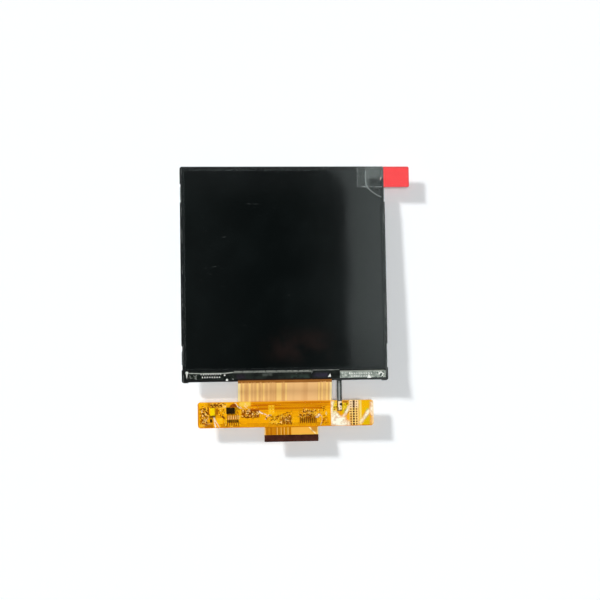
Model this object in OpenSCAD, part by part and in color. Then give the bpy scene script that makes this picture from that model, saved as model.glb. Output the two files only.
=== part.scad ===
// Square TFT display module: backlight unit, glass cell, protective film with its pull tab,
// and a T-shaped flex circuit with its small parts.
// It lies on its back. The screen faces +Z, the flex leaves the lower edge towards -Y,
// and the origin is the middle of the metal tray's rear face. Millimetres.

/* [Frame] */
// Width across the moulded frame at its side recesses
panel_w = 78; // [70:0.5:100]
// Height of the moulded frame, without its feet
panel_h = 82; // [74:0.5:105]
// Depth of the recesses in the frame's sides
side_step = 0.3; // [0.2:0.05:0.5]
// Length of the full-width side above the upper recess
upper_step_len = 6.6; // [3:0.2:8]
// Length of the upper recess on each side
upper_recess_len = 7.1; // [6.2:0.1:10]
// Length of the lower recess on each side
lower_recess_len = 9.1; // [6.2:0.1:12]
// Length of the full-width side below the lower recess
lower_step_len = 4.6; // [3:0.2:7]
// Width of the foot at each lower corner
foot_w = 2.5; // [1.5:0.1:4]
// Distance that the feet stand below the frame's lower edge
foot_drop = 0.3; // [0.2:0.05:0.6]
// Radius of the frame's outer corners
corner_r = 0.9; // [0.4:0.1:1.4]
// Thickness of the frame's wall at the top and the sides
frame_wall = 0.45; // [0.35:0.05:0.8]
// Thickness of the frame's lower wall, which the flex crosses
lower_wall = 0.75; // [0.5:0.05:1.2]
// Width of the shelf inside the wall that carries the glass
shelf_w = 1.35; // [0.8:0.05:1.8]
// Width of the lower shelf, between the lower wall and the lamp bay
lower_shelf_w = 0.6; // [0.4:0.05:1]

/* [Tray] */
// Thickness of the tray's sheet metal
tray_t = 0.25; // [0.2:0.01:0.3]
// Height of the tray's bent tabs above its rear face
tray_tab_h = 1.3; // [1.1:0.05:1.6]
// Length of each bent tab, which sits in a recess of the frame
tray_tab_len = 5; // [4:0.1:5.8]
// Length of the snap window in each tab
snap_len = 3; // [2:0.1:3.4]
// Height of each snap window
snap_h = 0.5; // [0.3:0.05:0.6]
// Depth of the moulded snap in its window
snap_depth = 0.15; // [0.1:0.01:0.2]
// Clearance round a snap in its window
snap_clear = 0.05; // [0.02:0.01:0.1]

/* [Backlight films] */
// Thickness of the white reflector film
reflector_t = 0.1; // [0.06:0.01:0.2]
// Thickness of the light guide plate
guide_t = 0.55; // [0.5:0.05:0.8]
// Thickness of the diffuser film
diffuser_t = 0.08; // [0.05:0.01:0.15]
// Thickness of each prism film
prism_t = 0.08; // [0.05:0.01:0.15]
// Clearance between the films and the frame's window
film_clear = 0.3; // [0.1:0.05:0.5]
// Distance from the frame's lower edge to the light guide's lower edge
guide_lift = 4.8; // [4.4:0.1:6]
// Thickness of the black tape round the window
rim_tape_t = 0.06; // [0.03:0.01:0.1]
// Width of the black tape at the top and the sides
rim_tape_w = 2.1; // [1.6:0.1:3]
// Width of the black tape over the lamps at the lower edge
rim_tape_lower_w = 4.2; // [3.4:0.1:6]

/* [Lamps] */
// Number of lamps along the lower edge
led_count = 8; // [4:1:10]
// Width of one lamp
led_w = 3; // [2:0.1:4]
// Depth of one lamp
led_d = 0.8; // [0.5:0.05:1]
// Height of one lamp
led_h = 0.45; // [0.3:0.05:0.48]
// Gap between a lamp and the light guide
led_gap = 0.05; // [0.02:0.01:0.2]
// Distance from the light guide's side to the middle of the first lamp
led_edge = 5; // [2.5:0.1:7]
// Thickness of the lamp flex
led_flex_t = 0.1; // [0.06:0.01:0.12]
// Width of the lamp flex in its bay
led_flex_w = 3; // [1.6:0.1:3.1]
// Place of the lamp flex's tail from the middle of the frame
led_tail_x = 20.6; // [19.6:0.1:24]
// Width of that tail
led_tail_w = 1.9; // [1:0.1:3]
// Length of the tail that lies on the main flex
led_tail_lap = 4.1; // [3.6:0.1:6]
// Clearance round the tail in its notch
led_tail_clear = 0.25; // [0.1:0.05:0.5]

/* [Glass cell] */
// Thickness of each glass sheet
glass_t = 0.3; // [0.2:0.05:0.5]
// Gap between the two glass sheets
cell_gap = 0.02; // [0.01:0.01:0.05]
// Clearance between the glass and the frame's walls
glass_clear = 0.1; // [0.05:0.05:0.3]
// Height of the bare ledge below the upper glass
ledge_h = 3.3; // [3:0.1:5]
// Thickness of the rear polarizer
rear_polarizer_t = 0.12; // [0.08:0.01:0.2]
// Thickness of the front polarizer
front_polarizer_t = 0.14; // [0.08:0.01:0.2]
// Inset of both polarizers from the edge of their glass
polarizer_inset = 0.4; // [0.2:0.1:0.8]
// Inset of the cell seal from the edge of the upper glass
seal_inset = 0.3; // [0.1:0.1:0.6]
// Width of the cell seal
seal_w = 1; // [0.6:0.1:1.6]

/* [Driver and ledge] */
// Length of the driver chip
driver_w = 28; // [16:0.5:32]
// Depth of the driver chip
driver_d = 1; // [0.7:0.05:1.2]
// Height of the driver chip
driver_h = 0.2; // [0.15:0.01:0.3]
// Distance from the upper glass to the driver chip
driver_gap = 0.75; // [0.6:0.05:0.8]
// Thickness of the bond films under the chip and the flex
bond_t = 0.02; // [0.01:0.01:0.04]
// Length of flex that is bonded to the ledge
bond_len = 1.1; // [0.7:0.05:1.1]
// Width of the black tape over the middle of the ledge
ledge_tape_w = 40.7; // [37:0.1:44]
// Place of that tape from the middle of the frame
ledge_tape_x = 0.4; // [-1:0.1:1]
// Thickness of that tape
ledge_tape_t = 0.05; // [0.03:0.01:0.1]
// Distance from the upper glass to that tape
ledge_tape_gap = 0.55; // [0.3:0.05:0.6]

/* [Protective film] */
// Thickness of the protective film
protective_t = 0.05; // [0.03:0.01:0.1]
// Thickness of the clear tape of the pull tab
tab_tape_t = 0.05; // [0.03:0.01:0.1]
// Thickness of the red grip under its outer half
tab_grip_t = 0.05; // [0.03:0.01:0.1]
// Height of the pull tab
tab_h = 8; // [5:0.1:14]
// Length of the tab on the protective film, from the frame's edge
tab_root = 10.3; // [6:0.1:16]
// Length of the red grip beyond the frame's edge
tab_reach = 9.9; // [5:0.1:16]
// Corner radius of the tab's outer end
tab_r = 0.7; // [0.3:0.1:2]
// Distance of the tab's upper edge from the top of the frame
tab_drop = 0.1; // [0:0.1:3]

/* [Main flex] */
// Thickness of the main flex
flex_t = 0.12; // [0.08:0.01:0.16]
// Width of the neck that leaves the glass
neck_w = 35.8; // [30:0.1:38]
// Place of the neck from the middle of the frame
neck_x = -0.25; // [-1:0.05:1]
// Distance from the frame's lower edge to the strip
neck_len = 7.6; // [6:0.1:12]
// Width of the strip that carries the small parts
strip_w = 67; // [66:0.2:76]
// Place of the strip's middle from the middle of the frame
strip_x = 0.1; // [-0.5:0.1:0.5]
// Height of the strip
strip_h = 9.8; // [9.8:0.1:14]
// Corner radius of the strip
strip_r = 1; // [0.4:0.1:2]
// Gap between the flex's underside and the rear face's plane
flex_lift = 0.03; // [0.02:0.01:0.1]

/* [Contact tail] */
// Number of contacts
contact_count = 40; // [20:1:50]
// Pitch of the contacts
contact_pitch = 0.5; // [0.4:0.1:0.6]
// Width of one contact
contact_w = 0.3; // [0.2:0.02:0.36]
// Length of one contact
contact_len = 2.4; // [1.5:0.1:3]
// Thickness of the contact plating
contact_t = 0.02; // [0.01:0.01:0.02]
// Place of the tail from the middle of the frame
tail_x = 2; // [-4:0.1:6]
// Length of the tail below the strip
tail_len = 5.6; // [4:0.1:10]
// Length of the stiffener on the end of the tail
stiffener_len = 2.6; // [2:0.1:3.6]
// Thickness of the stiffener
stiffener_t = 0.2; // [0.1:0.02:0.3]

/* [Small parts] */
// Length of a chip capacitor or resistor
chip_l = 1; // [0.8:0.05:1.1]
// Width of a chip capacitor or resistor
chip_w = 0.5; // [0.3:0.05:0.55]
// Height of a chip capacitor or resistor
chip_h = 0.35; // [0.2:0.05:0.5]
// Width of the boost chip
boost_w = 3.3; // [2.5:0.1:3.4]
// Depth of the boost chip
boost_d = 2.3; // [1.8:0.1:2.4]
// Height of the boost chip
boost_h = 0.5; // [0.4:0.05:0.8]
// Width of the yellow capacitor
yellow_w = 1.9; // [1.4:0.1:2.2]
// Length of the yellow capacitor
yellow_l = 2.9; // [2:0.1:3]
// Height of the yellow capacitor
yellow_h = 0.45; // [0.3:0.05:0.8]
// Number of capacitors in the row below the boost chip
filter_count = 6; // [3:1:6]
// Pitch of that row
filter_pitch = 0.78; // [0.7:0.02:0.8]
// Number of pump capacitors in each of two rows
pump_columns = 4; // [2:1:4]
// Pitch of the pump capacitors along the strip
pump_pitch = 1.35; // [1.2:0.05:1.4]
// Distance between the two rows of pump capacitors
pump_row_gap = 1.6; // [1.2:0.05:1.8]
// Number of elements in the resistor array
array_count = 8; // [4:1:8]
// Pitch of the resistor array
array_pitch = 0.74; // [0.7:0.02:0.8]
// Thickness of the bare pads
pad_t = 0.02; // [0.01:0.01:0.05]
// Rows of via pads near the right end
via_rows = 10; // [4:1:10]
// Pitch of the via pads along a column
via_pitch = 0.94; // [0.8:0.02:0.94]
// Distance between the columns of via pads
via_column_gap = 1.07; // [0.9:0.01:1.2]
// Diameter of one via pad
via_d = 0.5; // [0.3:0.05:0.6]

/* [Clear tapes] */
// Thickness of the clear tapes on the strip
clear_tape_t = 0.05; // [0.03:0.01:0.08]
// Distance of the clear tapes from the strip's edges
clear_tape_inset = 0.15; // [0.1:0.05:0.2]
// Length of the tape over the small parts
component_tape_w = 46.8; // [46:0.2:48]
// Clearance between a tape and the tallest part below it
clear_tape_gap = 0.03; // [0.02:0.01:0.1]
// Width of each sloped edge of a clear tape
clear_tape_slope = 0.45; // [0.3:0.05:0.5]
// Distance from the lamp tail's middle to the left edge of the tape over its solder joint
joint_tape_left = 3.4; // [2:0.1:4]

/* [Hidden] */
$fn = 48;
bend_steps = 10;

// Places across the module
frame_top = panel_h / 2;
frame_bottom = -panel_h / 2;
outer_w = panel_w + 2 * side_step;
upper_recess_top = frame_top - upper_step_len;
lower_recess_bottom = frame_bottom + lower_step_len;
tray_tab_places = [upper_recess_top - upper_recess_len / 2, lower_recess_bottom + lower_recess_len / 2];
pocket_w = panel_w - 2 * frame_wall;
pocket_top = frame_top - frame_wall;
pocket_bottom = frame_bottom + lower_wall;
window_w = pocket_w - 2 * shelf_w;
window_top = pocket_top - shelf_w;
window_bottom = pocket_bottom + lower_shelf_w;
film_w = window_w - 2 * film_clear;
film_top = window_top - film_clear;
guide_bottom = frame_bottom + guide_lift;
reflector_bottom = guide_bottom + film_clear;
glass_w = pocket_w - 2 * glass_clear;
glass_top = pocket_top - glass_clear;
glass_bottom = pocket_bottom + glass_clear;
upper_glass_bottom = glass_bottom + ledge_h;
polarizer_w = glass_w - 2 * polarizer_inset;
polarizer_top = glass_top - polarizer_inset;
polarizer_bottom = upper_glass_bottom + polarizer_inset;
seal_outer_w = glass_w - 2 * seal_inset;
seal_top = glass_top - seal_inset;
seal_bottom = upper_glass_bottom + seal_inset;
flex_end = glass_bottom + bond_len;
strip_top = frame_bottom - neck_len;
strip_bottom = strip_top - strip_h;
strip_left = strip_x - strip_w / 2;
strip_right = strip_x + strip_w / 2;
tail_w = (contact_count + 1) * contact_pitch;
tail_end = strip_bottom - tail_len;

// Heights of the stack
guide_z = tray_t + reflector_t;
diffuser_z = guide_z + guide_t;
lower_prism_z = diffuser_z + diffuser_t;
upper_prism_z = lower_prism_z + prism_t;
seat_z = upper_prism_z + prism_t;
rear_polarizer_z = seat_z + rim_tape_t;
tft_z = rear_polarizer_z + rear_polarizer_t;
cell_z = tft_z + glass_t;
upper_glass_z = cell_z + cell_gap;
front_polarizer_z = upper_glass_z + glass_t;
protective_z = front_polarizer_z + front_polarizer_t;
tab_z = protective_z + protective_t;
bond_top_z = cell_z + bond_t;
lower_wall_relief = 0.04;
lower_wall_top = bond_top_z - lower_wall_relief;
strip_z = flex_lift + flex_t;
tail_gap = 0.02;
led_tail_z = strip_z + tail_gap;

// The clear tapes clear the tallest part under them
tallest_part = max(boost_h, yellow_h, chip_h);
component_tape_z = strip_z + tallest_part + clear_tape_gap;
solder_top = 0.12;
joint_tape_z = led_tail_z + led_flex_t + solder_top + clear_tape_gap;

// Places of the small parts, from the strip's upper left corner: x, down, turn
boost_place = [12.4, 3.35, 0];
yellow_place = [5.55, 3.65, 90];
diode_place = [4.95, 7.0, 90];
coil_place = [9.6, 5.75, -40];
left_chip_places = [
    [2.35, 2.55, 75], [3.3, 3.75, 20], [2.1, 4.35, 80], [2.9, 5.45, 60], [1.9, 6.75, 85], [3.3, 7.55, 10]
];
top_chip_places = [[5.1, 1.15, 90], [6.2, 1.15, 90], [7.3, 1.15, 90], [8.45, 1.3, 90]];
source_chip_places = [
    [32.1, 6.4, 0], [33.5, 6.25, 90], [34.6, 6.5, 70], [32.3, 7.5, 0], [33.6, 7.75, 35], [34.85, 7.95, 90]
];
gamma_chip_places = [
    [40.2, 4.15, 0], [41.7, 3.75, 0], [43.2, 4.1, 0], [38.9, 5.3, 60], [40.3, 5.45, -50],
    [41.7, 5.35, 60], [43.2, 5.4, -50]
];
middle_chip_places = [[25.9, 6.3, 60], [27.3, 5.3, 0]];
filter_place = [13.1, 7.3];
pump_place = [17.6, 3.95];
array_place = [39.1, 7.15];
// Bare pads: x, down, width, depth
pad_places = [
    [8.55, 2.35, 0.6, 0.5], [8.6, 3.2, 0.6, 0.5], [10.2, 6.75, 0.45, 0.45], [10.2, 7.75, 0.45, 0.45],
    [27.45, 1.95, 0.5, 0.5], [28.55, 1.95, 0.5, 0.5], [27.45, 3.0, 0.5, 0.5], [28.55, 3.0, 0.5, 0.5],
    [27.45, 4.05, 0.5, 0.5], [28.55, 4.05, 0.5, 0.5], [48.95, 4.95, 0.5, 1.2]
];
diode_l = 1.05;
diode_w = 0.75;
diode_h = 0.35;
coil_l = 1.1;
coil_w = 0.6;
coil_h = 0.4;
array_l = 1.15;
array_w = 0.42;
array_h = 0.3;
filter_w = 0.45;
// Solder points of the lamp tail, down from the strip's top
solder_places = [1.35, 3.45];
solder_d = 0.9;
solder_boss_d = 0.7;
via_drop = 0.67;
via_edge = 8.65;
// Lamp tail: where it starts to bend and how long the bend is
led_bend_start = 0.6;
led_bend_len = 3.2;
neck_lead = 0.4;

lamp_span = film_w - 2 * led_edge;
lamp_pitch = lamp_span / (led_count - 1);

// A flat slab between two heights on the sheet, centred on x
module slab(w, low, high, z, t, x = 0) {
    translate([x - w / 2, low, z])
        cube([w, high - low, t]);
}

// A rectangular ring of the given widths at the sides, the top and the bottom
module ring(w, low, high, z, t, side, top, bottom) {
    difference() {
        slab(w, low, high, z, t);
        slab(w - 2 * side, low + bottom, high - top, z - 1, t + 2);
    }
}

// A flat outline with four rounded corners
module rounded_outline(w, h, r) {
    square([w - 2 * r, h], center = true);
    square([w, h - 2 * r], center = true);
    for (sx = [-1, 1], sy = [-1, 1])
        translate([sx * (w / 2 - r), sy * (h / 2 - r)])
            circle(r);
}

// A strip that is bent only in side view: its outline in Y and Z, drawn out along X
module side_profile(w, x, points) {
    translate([x - w / 2, 0, 0])
        rotate([90, 0, 90])
            linear_extrude(height = w)
                polygon(points);
}

// One side of a sheet that bends down from a higher level to a lower one in two equal arcs
function bend_side(start, end, offset) =
    let (
        run = start[0] - end[0],
        drop = start[1] - end[1],
        turn = 2 * atan(drop / run),
        r = turn == 0 ? 0 : run / (2 * sin(turn))
    )
    turn == 0 ? [[start[0], start[1] + offset], [end[0], end[1] + offset]] : concat(
        [for (i = [0:bend_steps])
            let (a = turn * i / bend_steps)
            [start[0] - (r + offset) * sin(a), start[1] - r + (r + offset) * cos(a)]],
        [for (i = [bend_steps - 1:-1:0])
            let (a = turn * i / bend_steps)
            [end[0] + (r - offset) * sin(a), end[1] + r - (r - offset) * cos(a)]]
    );

// The whole side outline of a bent sheet: flat from first_y, bent, and flat to last_y
function bent_sheet(first_y, start, end, last_y, t) =
    let (
        upper = bend_side(start, end, t / 2),
        lower = bend_side(start, end, -t / 2),
        n = len(lower)
    )
    concat(
        [[first_y, start[1] + t / 2]],
        upper,
        [[last_y, end[1] + t / 2], [last_y, end[1] - t / 2]],
        [for (i = [n - 1:-1:0]) lower[i]],
        [[first_y, start[1] - t / 2]]
    );

// A place on the strip, from its upper left corner
function on_strip(place) = [strip_left + place[0], strip_top - place[1], strip_z];

// A small rectangular part on the strip
module small_part(place, l, w, h) {
    translate(on_strip(place))
        rotate([0, 0, place[2]])
            translate([-l / 2, -w / 2, 0])
                cube([l, w, h]);
}

module small_parts(places, l, w, h) {
    for (place = places)
        small_part(place, l, w, h);
}

// A clear tape with both long edges turned down onto the strip
module tent_tape(left, right, z) {
    top = strip_top - clear_tape_inset;
    bottom = strip_bottom + clear_tape_inset;
    slope = clear_tape_slope;
    outer = [
        [top, strip_z], [top, strip_z + clear_tape_t], [top - slope, z + clear_tape_t],
        [bottom + slope, z + clear_tape_t], [bottom, strip_z + clear_tape_t], [bottom, strip_z]
    ];
    inner = [
        [bottom + clear_tape_t, strip_z], [bottom + slope + clear_tape_t, z],
        [top - slope - clear_tape_t, z], [top - clear_tape_t, strip_z]
    ];
    side_profile(right - left, (left + right) / 2, concat(outer, inner));
}

// --- Backlight ---

// One bent tab of the tray, on the right side, with its snap window
module tray_tab(y) {
    foot = 1;
    translate([panel_w / 2 - foot, y - tray_tab_len / 2, 0])
        cube([foot + tray_t, tray_tab_len, tray_t]);
    difference() {
        translate([panel_w / 2, y - tray_tab_len / 2, 0])
            cube([tray_t, tray_tab_len, tray_tab_h]);
        translate([panel_w / 2 - 1, y - snap_len / 2, (tray_t + tray_tab_h - snap_h) / 2])
            cube([tray_t + 2, snap_len, snap_h]);
    }
}

module rear_tray() {
    color("gainsboro") {
        linear_extrude(height = tray_t)
            rounded_outline(panel_w, panel_h, corner_r);
        for (side = [0, 1], y = tray_tab_places)
            mirror([side, 0, 0])
                tray_tab(y);
    }
}

// Moulded snap that sits in the window of one of the tray's tabs, on the right side
module snap(y) {
    l = snap_len - 2 * snap_clear;
    h = snap_h - 2 * snap_clear;
    inner = panel_w / 2 - frame_wall / 2;
    translate([inner, y - l / 2, (tray_t + tray_tab_h - h) / 2])
        cube([panel_w / 2 + snap_depth - inner, l, h]);
}

// The frame's outline from above: full-width steps, side recesses and two feet
module frame_outline() {
    difference() {
        translate([0, -foot_drop / 2])
            rounded_outline(outer_w, panel_h + foot_drop, corner_r);
        for (side = [-1, 1]) {
            recess_x = side * (panel_w / 2 + side_step);
            translate([recess_x - side_step, upper_recess_top - upper_recess_len])
                square([2 * side_step, upper_recess_len]);
            translate([recess_x - side_step, lower_recess_bottom])
                square([2 * side_step, lower_recess_len]);
        }
        translate([foot_w - outer_w / 2, frame_bottom - foot_drop - 1])
            square([outer_w - 2 * foot_w, foot_drop + 1]);
    }
}

module mould_frame() {
    color("#161718") {
        difference() {
            translate([0, 0, tray_t])
                linear_extrude(height = front_polarizer_z - tray_t)
                    frame_outline();
            slab(window_w, window_bottom, window_top, tray_t - 1, front_polarizer_z + 1);
            slab(pocket_w, pocket_bottom, pocket_top, seat_z, front_polarizer_z);
            slab(pocket_w, frame_bottom - 1, pocket_bottom + 1, lower_wall_top, front_polarizer_z);
            slab(
                led_tail_w + 2 * led_tail_clear, frame_bottom - 1, window_bottom + 1,
                tray_t - 1, 1 + led_flex_t + lower_wall_relief, led_tail_x
            );
        }
        for (side = [0, 1], y = tray_tab_places)
            mirror([side, 0, 0])
                snap(y);
    }
}

module reflector_film() {
    color("white")
        slab(film_w, reflector_bottom, film_top, tray_t, reflector_t);
}

module light_guide() {
    color("#dfe8ea")
        slab(film_w, guide_bottom, film_top, guide_z, guide_t);
}

module diffuser_film() {
    color("#f2f2ee")
        slab(film_w, guide_bottom, film_top, diffuser_z, diffuser_t);
}

module lower_prism_film() {
    color("#cfd6d8")
        slab(film_w, guide_bottom, film_top, lower_prism_z, prism_t);
}

module upper_prism_film() {
    color("#d8dfe0")
        slab(film_w, guide_bottom, film_top, upper_prism_z, prism_t);
}

module led_flex() {
    bay_top = reflector_bottom - film_clear / 2;
    start = [frame_bottom - led_bend_start, tray_t + led_flex_t / 2];
    end = [start[0] - led_bend_len, led_tail_z + led_flex_t / 2];
    color("#3b3d3c") {
        slab(film_w, bay_top - led_flex_w, bay_top, tray_t, led_flex_t);
        side_profile(
            led_tail_w, led_tail_x,
            bent_sheet(bay_top - led_flex_w / 2, start, end, strip_top - led_tail_lap, led_flex_t)
        );
    }
}

module led(i) {
    x = -lamp_span / 2 + (i - 1) * lamp_pitch;
    color("#e8d27a")
        slab(led_w, guide_bottom - led_gap - led_d, guide_bottom - led_gap, tray_t + led_flex_t, led_h, x);
}

module rim_tape() {
    color("#1c1c1d")
        ring(
            glass_w, glass_bottom, glass_top, seat_z, rim_tape_t,
            rim_tape_w, rim_tape_w, rim_tape_lower_w
        );
}

// --- Glass cell ---

module rear_polarizer() {
    color("#2a2f31")
        slab(polarizer_w, polarizer_bottom, polarizer_top, rear_polarizer_z, rear_polarizer_t);
}

module tft_glass() {
    color("#4a5452")
        slab(glass_w, glass_bottom, glass_top, tft_z, glass_t);
}

module cell_seal() {
    color("#8a8f8a")
        ring(seal_outer_w, seal_bottom, seal_top, cell_z, cell_gap, seal_w, seal_w, seal_w);
}

module liquid_crystal() {
    color("#14181a")
        slab(seal_outer_w - 2 * seal_w, seal_bottom + seal_w, seal_top - seal_w, cell_z, cell_gap);
}

module colour_filter_glass() {
    color("#101417")
        slab(glass_w, upper_glass_bottom, glass_top, upper_glass_z, glass_t);
}

module front_polarizer() {
    color("#0c0f11")
        slab(polarizer_w, polarizer_bottom, polarizer_top, front_polarizer_z, front_polarizer_t);
}

module protective_film() {
    color("#30373a")
        slab(polarizer_w, polarizer_bottom, polarizer_top, protective_z, protective_t);
}

// Outline of the pull tab from one x to another, with its outer corners rounded
module tab_sheet(left, t) {
    right = panel_w / 2 + tab_reach;
    translate([0, frame_top - tab_drop - tab_h / 2, 0])
        linear_extrude(height = t) {
            translate([(left + right) / 2, 0])
                rounded_outline(right - left, tab_h, tab_r);
            translate([left, -tab_h / 2])
                square([tab_r * 2, tab_h]);
        }
}

module tab_tape() {
    color("#e9eceb")
        translate([0, 0, tab_z])
            tab_sheet(panel_w / 2 - tab_root, tab_tape_t);
}

module tab_grip() {
    color("#fd5458")
        translate([0, 0, tab_z - tab_grip_t])
            tab_sheet(panel_w / 2, tab_grip_t);
}

// --- Ledge ---

module driver_chip() {
    high = upper_glass_bottom - driver_gap;
    color("#55585c")
        slab(driver_w, high - driver_d, high, bond_top_z, driver_h);
}

module chip_bond_film() {
    high = upper_glass_bottom - driver_gap;
    color("#9a9a90")
        slab(driver_w, high - driver_d, high, cell_z, bond_t);
}

module flex_bond_film() {
    color("#9a9a90")
        slab(neck_w, glass_bottom, flex_end, cell_z, bond_t, neck_x);
}

// Black tape over the driver chip and the end of the flex
module ledge_tape() {
    chip_top = bond_top_z + driver_h;
    flex_top = bond_top_z + flex_t;
    chip_low = upper_glass_bottom - driver_gap - driver_d;
    under = [
        [upper_glass_bottom - ledge_tape_gap, chip_top], [chip_low, chip_top],
        [flex_end, flex_top], [glass_bottom, flex_top]
    ];
    n = len(under);
    over = [for (i = [n - 1:-1:0]) [under[i][0], under[i][1] + ledge_tape_t]];
    color("#1d1f1f")
        side_profile(ledge_tape_w, ledge_tape_x, concat(under, over));
}

// --- Main flex ---

module main_flex() {
    start = [frame_bottom - neck_lead, bond_top_z + flex_t / 2];
    end = [strip_top + neck_lead, flex_lift + flex_t / 2];
    color("#f0a51c") {
        side_profile(neck_w, neck_x, bent_sheet(flex_end, start, end, strip_top - strip_r, flex_t));
        translate([0, 0, flex_lift])
            linear_extrude(height = flex_t) {
                translate([strip_x, (strip_top + strip_bottom) / 2])
                    rounded_outline(strip_w, strip_h, strip_r);
                translate([tail_x - tail_w / 2, tail_end])
                    square([tail_w, tail_len + strip_r]);
            }
    }
}

module tail_stiffener() {
    color("#46201a")
        slab(tail_w, tail_end, tail_end + stiffener_len, strip_z, stiffener_t, tail_x);
}

module contact_fingers() {
    first = tail_x - (contact_count - 1) * contact_pitch / 2;
    color("#d9a441")
        for (i = [0:contact_count - 1])
            slab(
                contact_w, tail_end, tail_end + contact_len,
                flex_lift - contact_t, contact_t, first + i * contact_pitch
            );
}

// --- Small parts on the strip ---

module boost_chip() {
    color("#10110f")
        small_part(boost_place, boost_w, boost_d, boost_h);
}

module yellow_capacitor() {
    color("#ffe020")
        small_part(yellow_place, yellow_l, yellow_w, yellow_h);
}

module diode() {
    color("#1a0d06")
        small_part(diode_place, diode_l, diode_w, diode_h);
}

module coil() {
    color("#6a1f06")
        small_part(coil_place, coil_l, coil_w, coil_h);
}

module left_chips() {
    color("#7a4410")
        small_parts(left_chip_places, chip_l, chip_w, chip_h);
}

module top_chips() {
    color("#7a4410")
        small_parts(top_chip_places, chip_l, chip_w, chip_h);
}

module middle_chips() {
    color("#7a4410")
        small_parts(middle_chip_places, chip_l, chip_w, chip_h);
}

module filter_capacitors() {
    color("#4d3c10")
        for (i = [0:filter_count - 1])
            small_part(
                [filter_place[0] + (i - (filter_count - 1) / 2) * filter_pitch, filter_place[1], 90],
                chip_l, filter_w, chip_h
            );
}

module pump_capacitor(i) {
    column = (i - 1) % pump_columns;
    row = floor((i - 1) / pump_columns);
    color("#6b3208")
        small_part(
            [pump_place[0] + column * pump_pitch, pump_place[1] + row * pump_row_gap, 0],
            chip_l, chip_w, chip_h
        );
}

module source_chips() {
    color("#6b3208")
        small_parts(source_chip_places, chip_l * 0.8, chip_w, chip_h);
}

module gamma_chips() {
    color("#6b3208")
        small_parts(gamma_chip_places, chip_l, chip_w, chip_h);
}

module resistor_array() {
    color("#5a2c08")
        for (i = [0:array_count - 1])
            small_part([array_place[0] + i * array_pitch, array_place[1], 90], array_l, array_w, array_h);
}

module bare_pads() {
    color("#ffd84a")
        for (pad = pad_places)
            translate(on_strip(pad))
                translate([-pad[2] / 2, -pad[3] / 2, 0])
                    cube([pad[2], pad[3], pad_t]);
}

module via_pads() {
    color("#5d3a16")
        for (column = [0:2], row = [0:via_rows - 1])
            translate([
                strip_right - via_edge + column * via_column_gap,
                strip_top - via_drop - row * via_pitch,
                strip_z
            ])
                cylinder(d = via_d, h = pad_t);
}

// Solder under and on the lamp flex's tail
module tail_solder() {
    color("#b9bcbe")
        for (down = solder_places) {
            translate([led_tail_x, strip_top - down, strip_z])
                cylinder(d = solder_d, h = tail_gap);
            translate([led_tail_x, strip_top - down, led_tail_z + led_flex_t])
                cylinder(d1 = solder_d, d2 = solder_boss_d, h = solder_top);
        }
}

module component_tape() {
    color("#f6c860")
        tent_tape(
            strip_left + clear_tape_slope, strip_left + clear_tape_slope + component_tape_w,
            component_tape_z
        );
}

module joint_tape() {
    color("#f8efc8")
        difference() {
            tent_tape(led_tail_x - joint_tape_left, strip_right - clear_tape_inset, joint_tape_z);
            slab(
                led_tail_w + 2 * led_tail_clear, strip_top - 2 * clear_tape_slope, strip_top + 1,
                strip_z - 1, 1 + tail_gap + led_flex_t + lower_wall_relief, led_tail_x
            );
        }
}

rear_tray();
mould_frame();
reflector_film();
light_guide();
diffuser_film();
lower_prism_film();
upper_prism_film();
led_flex();
for (i = [1:led_count])
    led(i);
rim_tape();
rear_polarizer();
tft_glass();
cell_seal();
liquid_crystal();
colour_filter_glass();
front_polarizer();
protective_film();
tab_tape();
tab_grip();
driver_chip();
chip_bond_film();
flex_bond_film();
ledge_tape();
main_flex();
tail_stiffener();
contact_fingers();
boost_chip();
yellow_capacitor();
diode();
coil();
left_chips();
top_chips();
middle_chips();
filter_capacitors();
for (i = [1:2 * pump_columns])
    pump_capacitor(i);
source_chips();
gamma_chips();
resistor_array();
bare_pads();
via_pads();
tail_solder();
component_tape();
joint_tape();
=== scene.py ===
"""Looks of a square TFT display module: screen stack, ledge, flex circuit and its small parts.

Lengths are written in millimetres and turned into Blender's metres by MM. The frame is the CAD
frame: the screen faces +Z, the flex leaves towards -Y, the origin is on the tray's rear face.
Colours are sRGB hex codes, except the floor's and the light's, which are linear numbers.
"""

import math
import random
from functools import reduce
from operator import or_

import bmesh
import bpy
from mathutils import Euler, Matrix, Vector
from mathutils.bvhtree import BVHTree


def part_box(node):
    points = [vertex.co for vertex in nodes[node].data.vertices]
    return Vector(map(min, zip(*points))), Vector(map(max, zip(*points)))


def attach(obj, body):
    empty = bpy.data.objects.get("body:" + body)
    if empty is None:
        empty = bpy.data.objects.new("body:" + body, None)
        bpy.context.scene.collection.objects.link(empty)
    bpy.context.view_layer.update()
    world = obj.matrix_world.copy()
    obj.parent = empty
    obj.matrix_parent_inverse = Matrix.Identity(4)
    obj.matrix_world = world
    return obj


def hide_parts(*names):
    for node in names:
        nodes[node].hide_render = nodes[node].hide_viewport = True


MM = 0.001
BODY = "root"
SEED = 11

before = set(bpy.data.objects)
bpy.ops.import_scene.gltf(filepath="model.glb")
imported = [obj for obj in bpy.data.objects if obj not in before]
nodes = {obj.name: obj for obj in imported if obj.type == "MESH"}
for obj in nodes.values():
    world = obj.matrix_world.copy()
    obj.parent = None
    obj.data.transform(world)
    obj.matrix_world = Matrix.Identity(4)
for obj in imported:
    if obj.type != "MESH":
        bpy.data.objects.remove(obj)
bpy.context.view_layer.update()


# --- Places ---


def box_mm(node):
    """Lowest and highest corner of a CAD node, in millimetres."""
    low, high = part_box(node)
    return Vector(low) / MM, Vector(high) / MM


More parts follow.
